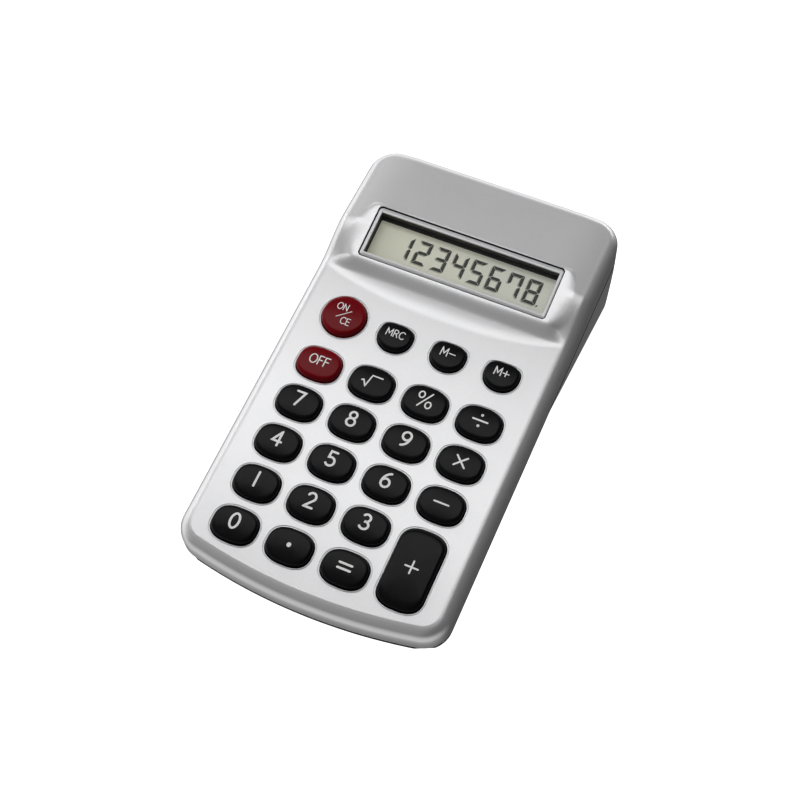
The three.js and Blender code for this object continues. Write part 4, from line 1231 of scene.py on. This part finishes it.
steel, steel_shader, place = start_finish("screw_steel", Metallic=1.0)
stain = place.noise(1.3, 4, 0.6)
brushed = place.noise(9.0, 3)
wire_up(
    steel_shader,
    Base_Color=stain.tint((0.42, 0.42, 0.43, 1), (0.6, 0.6, 0.61, 1)),
    Roughness=0.24 + stain * 0.16 + brushed * 0.06,
    Normal=brushed.bump(0.008),
)
UNDER_BOARD = -4.9 - 0.8 - GAP
CASE_SCREW_TOP = -2.4
screws = []
for number, (x, y) in enumerate(CASE_SCREWS, 1):
    bearing = screw_seat(y) - GAP
    screws.append((f"case_screw_{number}", [x, y, bearing], 1.75, 0.95, 0.85, CASE_SCREW_TOP - bearing))
for number, (x, y) in enumerate(BOARD_SCREWS, 1):
    screws.append((f"board_screw_{number}", [x, y, UNDER_BOARD], 1.5, 0.7, 0.6, 3.8))
for name, seat, head, thick, shank, length in screws:
    points, faces = screw_skin(head, thick, shank, length)
    body = mesh_of(name, points + seat, faces)
    bars = cross_cutter(head * 0.62, thick * 0.75, -thick)
    cut = carve(body, [mesh_of("recess", some + seat, some_faces) for some, some_faces in bars])
    finish_piece("turned_" + name, cut, [steel], "case", [name], crease=32)

# ------------------------------------------------------------------ feet
# Black rubber feet stuck under the case: round pads with a rolled lower edge and a shallow dished sole.

FOOT_RADIUS = 3.5
FEET = {"foot_1": (-18, -50), "foot_2": (18, -50), "foot_3": (-26, 44), "foot_4": (26, 44)}
SOLE = [(0.3, 0.16), (2.2, 0.16), (2.6, 0.1), (2.75, 0.0), (3.05, 0.0), (3.3, 0.08), (3.45, 0.26), (3.5, 0.5)]
rubber = black_moulding("foot_rubber", (0.018, 0.018, 0.019, 1), (0.032, 0.032, 0.033, 1), 0.74)
for name, (x, y) in FEET.items():
    low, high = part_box(name)
    centre = (np.array(low) + np.array(high))[:2] * 500
    angle = np.linspace(0, 2 * math.pi, 64, endpoint=False)
    circle = np.stack([np.cos(angle), np.sin(angle)], -1)
    slope = WEDGE_SLOPE if y > 0 else 0.0
    plane_z = (WEDGE_BOTTOM + (WEDGE_END - y) * WEDGE_SLOPE) if y > 0 else KEYPAD_BASE
    rings = [raised(circle * r + centre, z) for r, z in SOLE]
    rim = circle * FOOT_RADIUS + centre
    base_normal = np.array([0, slope, 1.0])
    turned_normal = np.array([0, base_normal[1] * cos_tip - sin_tip, base_normal[1] * sin_tip + cos_tip])
    anchor = stand(np.array([x, y, plane_z - 0.06])) * 1000
    rim_z = anchor[2] - (rim[:, 1] - anchor[1]) * turned_normal[1] / turned_normal[2]
    rings.append(raised(rim, np.maximum(rim_z, 0.55)))
    points, faces = skin(rings)
    foot_mesh = mesh_of(name, lie_down(points), faces)
    finish_piece("rubber_" + name, foot_mesh, [rubber], "case", [name])

# ------------------------------------------------------------------ inside the case
# The board, mat, cell and their fittings keep the shapes they were made to; each gets its own finish.


def refinish(name, finish):
    """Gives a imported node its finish."""
    frame["nodes"][name].material_slots[0].material = finish


def moulded(name, colour, other, roughness, scale, depth, **fixed):
    """Plain moulded, pressed or drawn part: a cloudy tint, uneven gloss, and grain of the given scale."""
    material, shader, place = start_finish(name, **fixed)
    grain = place.noise(scale, 3)
    cloud = place.noise(scale * 0.06, 3)
    wire_up(
        shader,
        Base_Color=(cloud * 0.6 + grain * 0.4).tint(colour, other),
        Roughness=roughness - 0.05 + grain * 0.1,
        Normal=grain.bump(depth),
    )
    return material


# node, finish, two tints, roughness, grains to the millimetre, depth of the grain, and share of metal
INSIDE = [
    ("lcd_reflector", "reflector_foil", (0.6, 0.6, 0.58, 1), (0.75, 0.75, 0.72, 1), 0.3, 6, 0.01, 0.8),
    ("lcd_holder", "holder_white", (0.74, 0.74, 0.71, 1), (0.82, 0.82, 0.8, 1), 0.5, 4, 0.012, 0.0),
    ("key_mat", "mat_silicone", (0.42, 0.43, 0.45, 1), (0.5, 0.51, 0.53, 1), 0.62, 3, 0.02, 0.0),
    ("chip_resistor", "resistor_body", (0.01, 0.01, 0.011, 1), (0.03, 0.03, 0.03, 1), 0.4, 6, 0.01, 0.0),
    ("chip_capacitor", "capacitor_body", (0.36, 0.2, 0.1, 1), (0.45, 0.27, 0.14, 1), 0.45, 6, 0.01, 0.0),
    ("chip_cover", "chip_resin", (0.006, 0.006, 0.007, 1), (0.014, 0.014, 0.015, 1), 0.25, 2, 0.03, 0.0),
    ("wire_positive", "wire_red", (0.42, 0.015, 0.012, 1), (0.5, 0.03, 0.02, 1), 0.4, 4, 0.008, 0.0),
    ("wire_negative", "wire_black", (0.01, 0.01, 0.01, 1), (0.025, 0.025, 0.025, 1), 0.4, 4, 0.008, 0.0),
]
for node, finish_name, colour, other, roughness, scale, depth, metal_share in INSIDE:
    refinish(node, moulded(finish_name, colour, other, roughness, scale, depth, Metallic=metal_share))
contact = moulded("contact_steel", (0.62, 0.61, 0.58, 1), (0.76, 0.75, 0.72, 1), 0.22, 5, 0.006, Metallic=1.0)
refinish("contact_positive", contact)
refinish("contact_negative", contact)

zebra, zebra_shader, place = start_finish("zebra_elastomer")
place_x = place.node("SeparateXYZ", {}, {0: place}, 0)
wave = place_x * 12.566
stripe = wave.node("Math", {"operation": "SINE"}, {0: wave}).between(-0.2, 0.2)
zebra_grain = place.noise(5, 2)
wire_up(
    zebra_shader,
    Base_Color=(stripe * 0.8 + zebra_grain * 0.2).tint((0.45, 0.46, 0.48, 1), (0.03, 0.03, 0.03, 1)),
    Roughness=0.5 + zebra_grain * 0.15,
    Normal=zebra_grain.bump(0.01),
)
refinish("zebra_connector", zebra)

board, board_shader, place = start_finish("board_laminate", IOR=1.5)
feed = {"Vector": place, "Scale": 0.24, "Mortar Size": 0.06}
tracks = place.node("TexBrick", {"offset": 0.5}, feed, "Fac")
weave = place.noise(2.4, 3)
wire_up(
    board_shader,
    Base_Color=(tracks * 0.75 + weave * 0.25).tint((0.03, 0.15, 0.06, 1), (0.06, 0.24, 0.1, 1)),
    Roughness=0.35 + weave * 0.15 - tracks * 0.08,
    Normal=(tracks * 0.6 + weave * 0.4).bump(0.03),
)
refinish("circuit_board", board)

can, can_shader, place = start_finish("cell_can")
place_x = place.node("SeparateXYZ", {}, {0: place}, 0)
sleeve = place_x.between(-21.2, -21.0) * (1 - place_x.between(20.3, 20.5))
band = place_x.between(9.2, 9.3)
metal = place.noise(3, 3)
sleeve_colour = band.tint((0.02, 0.03, 0.05, 1), (0.5, 0.32, 0.1, 1))
wire_up(
    can_shader,
    Base_Color=sleeve.tint((0.7, 0.7, 0.7, 1), sleeve_colour),
    Metallic=1 - sleeve * 0.6,
    Roughness=0.24 + metal * 0.12,
    Normal=metal.bump(0.006),
)
refinish("battery_cell", can)

# ------------------------------------------------------------------ floor, light and camera
# A plain pale floor, a wide soft box above and behind, two narrow ones for the edges, a soft sky that is
# brighter at the back left and low in front, and a long lens.

FLOOR_REACH = 1.6
FLOOR_STEPS = 33
marks = np.linspace(-FLOOR_REACH, FLOOR_REACH, FLOOR_STEPS)
floor_x, floor_y = np.meshgrid(marks, marks)
floor_points = np.stack([floor_x, floor_y, np.zeros_like(floor_x)], -1).reshape(-1, 3)
floor_numbers = np.arange(FLOOR_STEPS**2).reshape(FLOOR_STEPS, FLOOR_STEPS)
floor_mesh = bpy.data.meshes.new("floor")
floor_mesh.from_pydata(floor_points.tolist(), [], quads(floor_numbers).tolist())
floor = bpy.data.objects.new("floor", floor_mesh)
bpy.context.scene.collection.objects.link(floor)
pale, pale_shader, place = start_finish("floor_pale", Roughness=0.9, Specular_IOR_Level=0.1)
paper = place.noise(0.02, 2)
pale_shader.inputs["Emission Strength"].default_value = 1.0
wire_up(
    pale_shader,
    Base_Color=paper.tint((0.93, 0.93, 0.93, 1), (0.96, 0.96, 0.96, 1)),
    Emission_Color=paper.tint((1.0, 1.0, 1.0, 1), (0.97, 0.97, 0.97, 1)),
)
floor_mesh.materials.append(pale)
floor.visible_diffuse = False
floor.visible_glossy = False

scene = bpy.context.scene
scene.view_settings.view_transform = "Standard"
sky = bpy.data.worlds.new("studio")
sky.use_nodes = True
scene.world = sky
direction = Strand(sky.node_tree).node("TexCoord", give="Generated")
toward_x = direction.node("SeparateXYZ", {}, {0: direction}, 0)
toward_y = direction.node("SeparateXYZ", {}, {0: direction}, 1)
toward_z = direction.node("SeparateXYZ", {}, {0: direction}, 2)
back_left = (toward_y * 0.7 - toward_x * 0.7).between(-0.1, 0.75)
band = toward_z.between(-0.5, -0.12) * (1 - toward_z.between(0.25, 0.8))
front_low = (1 - toward_y.between(-0.6, 0.3)) * (1 - toward_z.between(-0.3, 0.2))
above = toward_z.between(-0.1, 0.5) * (1 - toward_x.between(0.05, 0.6) * 0.8)
underneath = 1 - toward_z.between(-0.99, -0.9)
strength = back_left * band * 1.1 + above * 0.22 + front_low * (1 - underneath) * 0.72 + 0.04
studio = sky.node_tree.nodes["Background"]
studio.inputs["Color"].default_value = (1, 1, 1, 1)
sky.node_tree.links.new(strength.socket, studio.inputs["Strength"])


def soft_light(name, direction, distance, size, power):
    """Flat soft box that faces the middle of the case from that direction, its width level with x."""
    data = bpy.data.lights.new(name, "AREA")
    data.shape = "RECTANGLE"
    data.size = size[0]
    data.size_y = size[1]
    data.energy = power
    lamp = bpy.data.objects.new(name, data)
    heading = np.array(direction) / np.linalg.norm(direction)
    width = np.array([1, 0, 0]) - heading * heading[0]
    width /= np.linalg.norm(width)
    axes = Matrix(np.stack([width, np.cross(heading, width), heading], -1).tolist())
    place = heading * distance + np.array([0, 0, 0.012])
    lamp.matrix_world = Matrix.Translation(place.tolist()) @ axes.to_4x4()
    scene.collection.objects.link(lamp)
    return lamp


soft_light("overhead", (-0.21, 0.22, 0.94), 0.75, (0.75, 0.18), 0.98)
soft_light("left_strip", (-0.84, 0.25, 0.48), 0.8, (0.08, 0.5), 0.3)
soft_light("back_strip", (0.22, 0.93, 0.3), 0.8, (0.4, 0.07), 0.35)

azimuth, elevation, roll = np.radians([27.75, 62.27, -4.48])
CAMERA_DISTANCE = 349.317
CAMERA_AIM = np.array([0, 8.8, 0.65])
FOCAL_LENGTH = 69.507
level_back = np.array([math.sin(azimuth), -math.cos(azimuth), 0])
back = level_back * math.cos(elevation) + [0, 0, math.sin(elevation)]
level_right = np.array([math.cos(azimuth), math.sin(azimuth), 0])
level_up = np.cross(back, level_right)
right = math.cos(roll) * level_right + math.sin(roll) * level_up
up = math.cos(roll) * level_up - math.sin(roll) * level_right
eye = CAMERA_AIM + back * CAMERA_DISTANCE - right * 4.8536 - up * 12.1934
turn = np.array([[1, 0, 0], [0, cos_tip, -sin_tip], [0, sin_tip, cos_tip]])
camera_data = bpy.data.cameras.new("camera")
camera_data.sensor_width = 36
camera_data.lens = FOCAL_LENGTH
camera_data.clip_start = 0.01
camera_data.clip_end = 20
camera = bpy.data.objects.new("camera", camera_data)
scene.collection.objects.link(camera)
axes = Matrix(np.stack([turn @ right, turn @ up, turn @ back], -1).tolist())
camera.matrix_world = Matrix.Translation(stand(eye).tolist()) @ axes.to_4x4()
scene.camera = camera
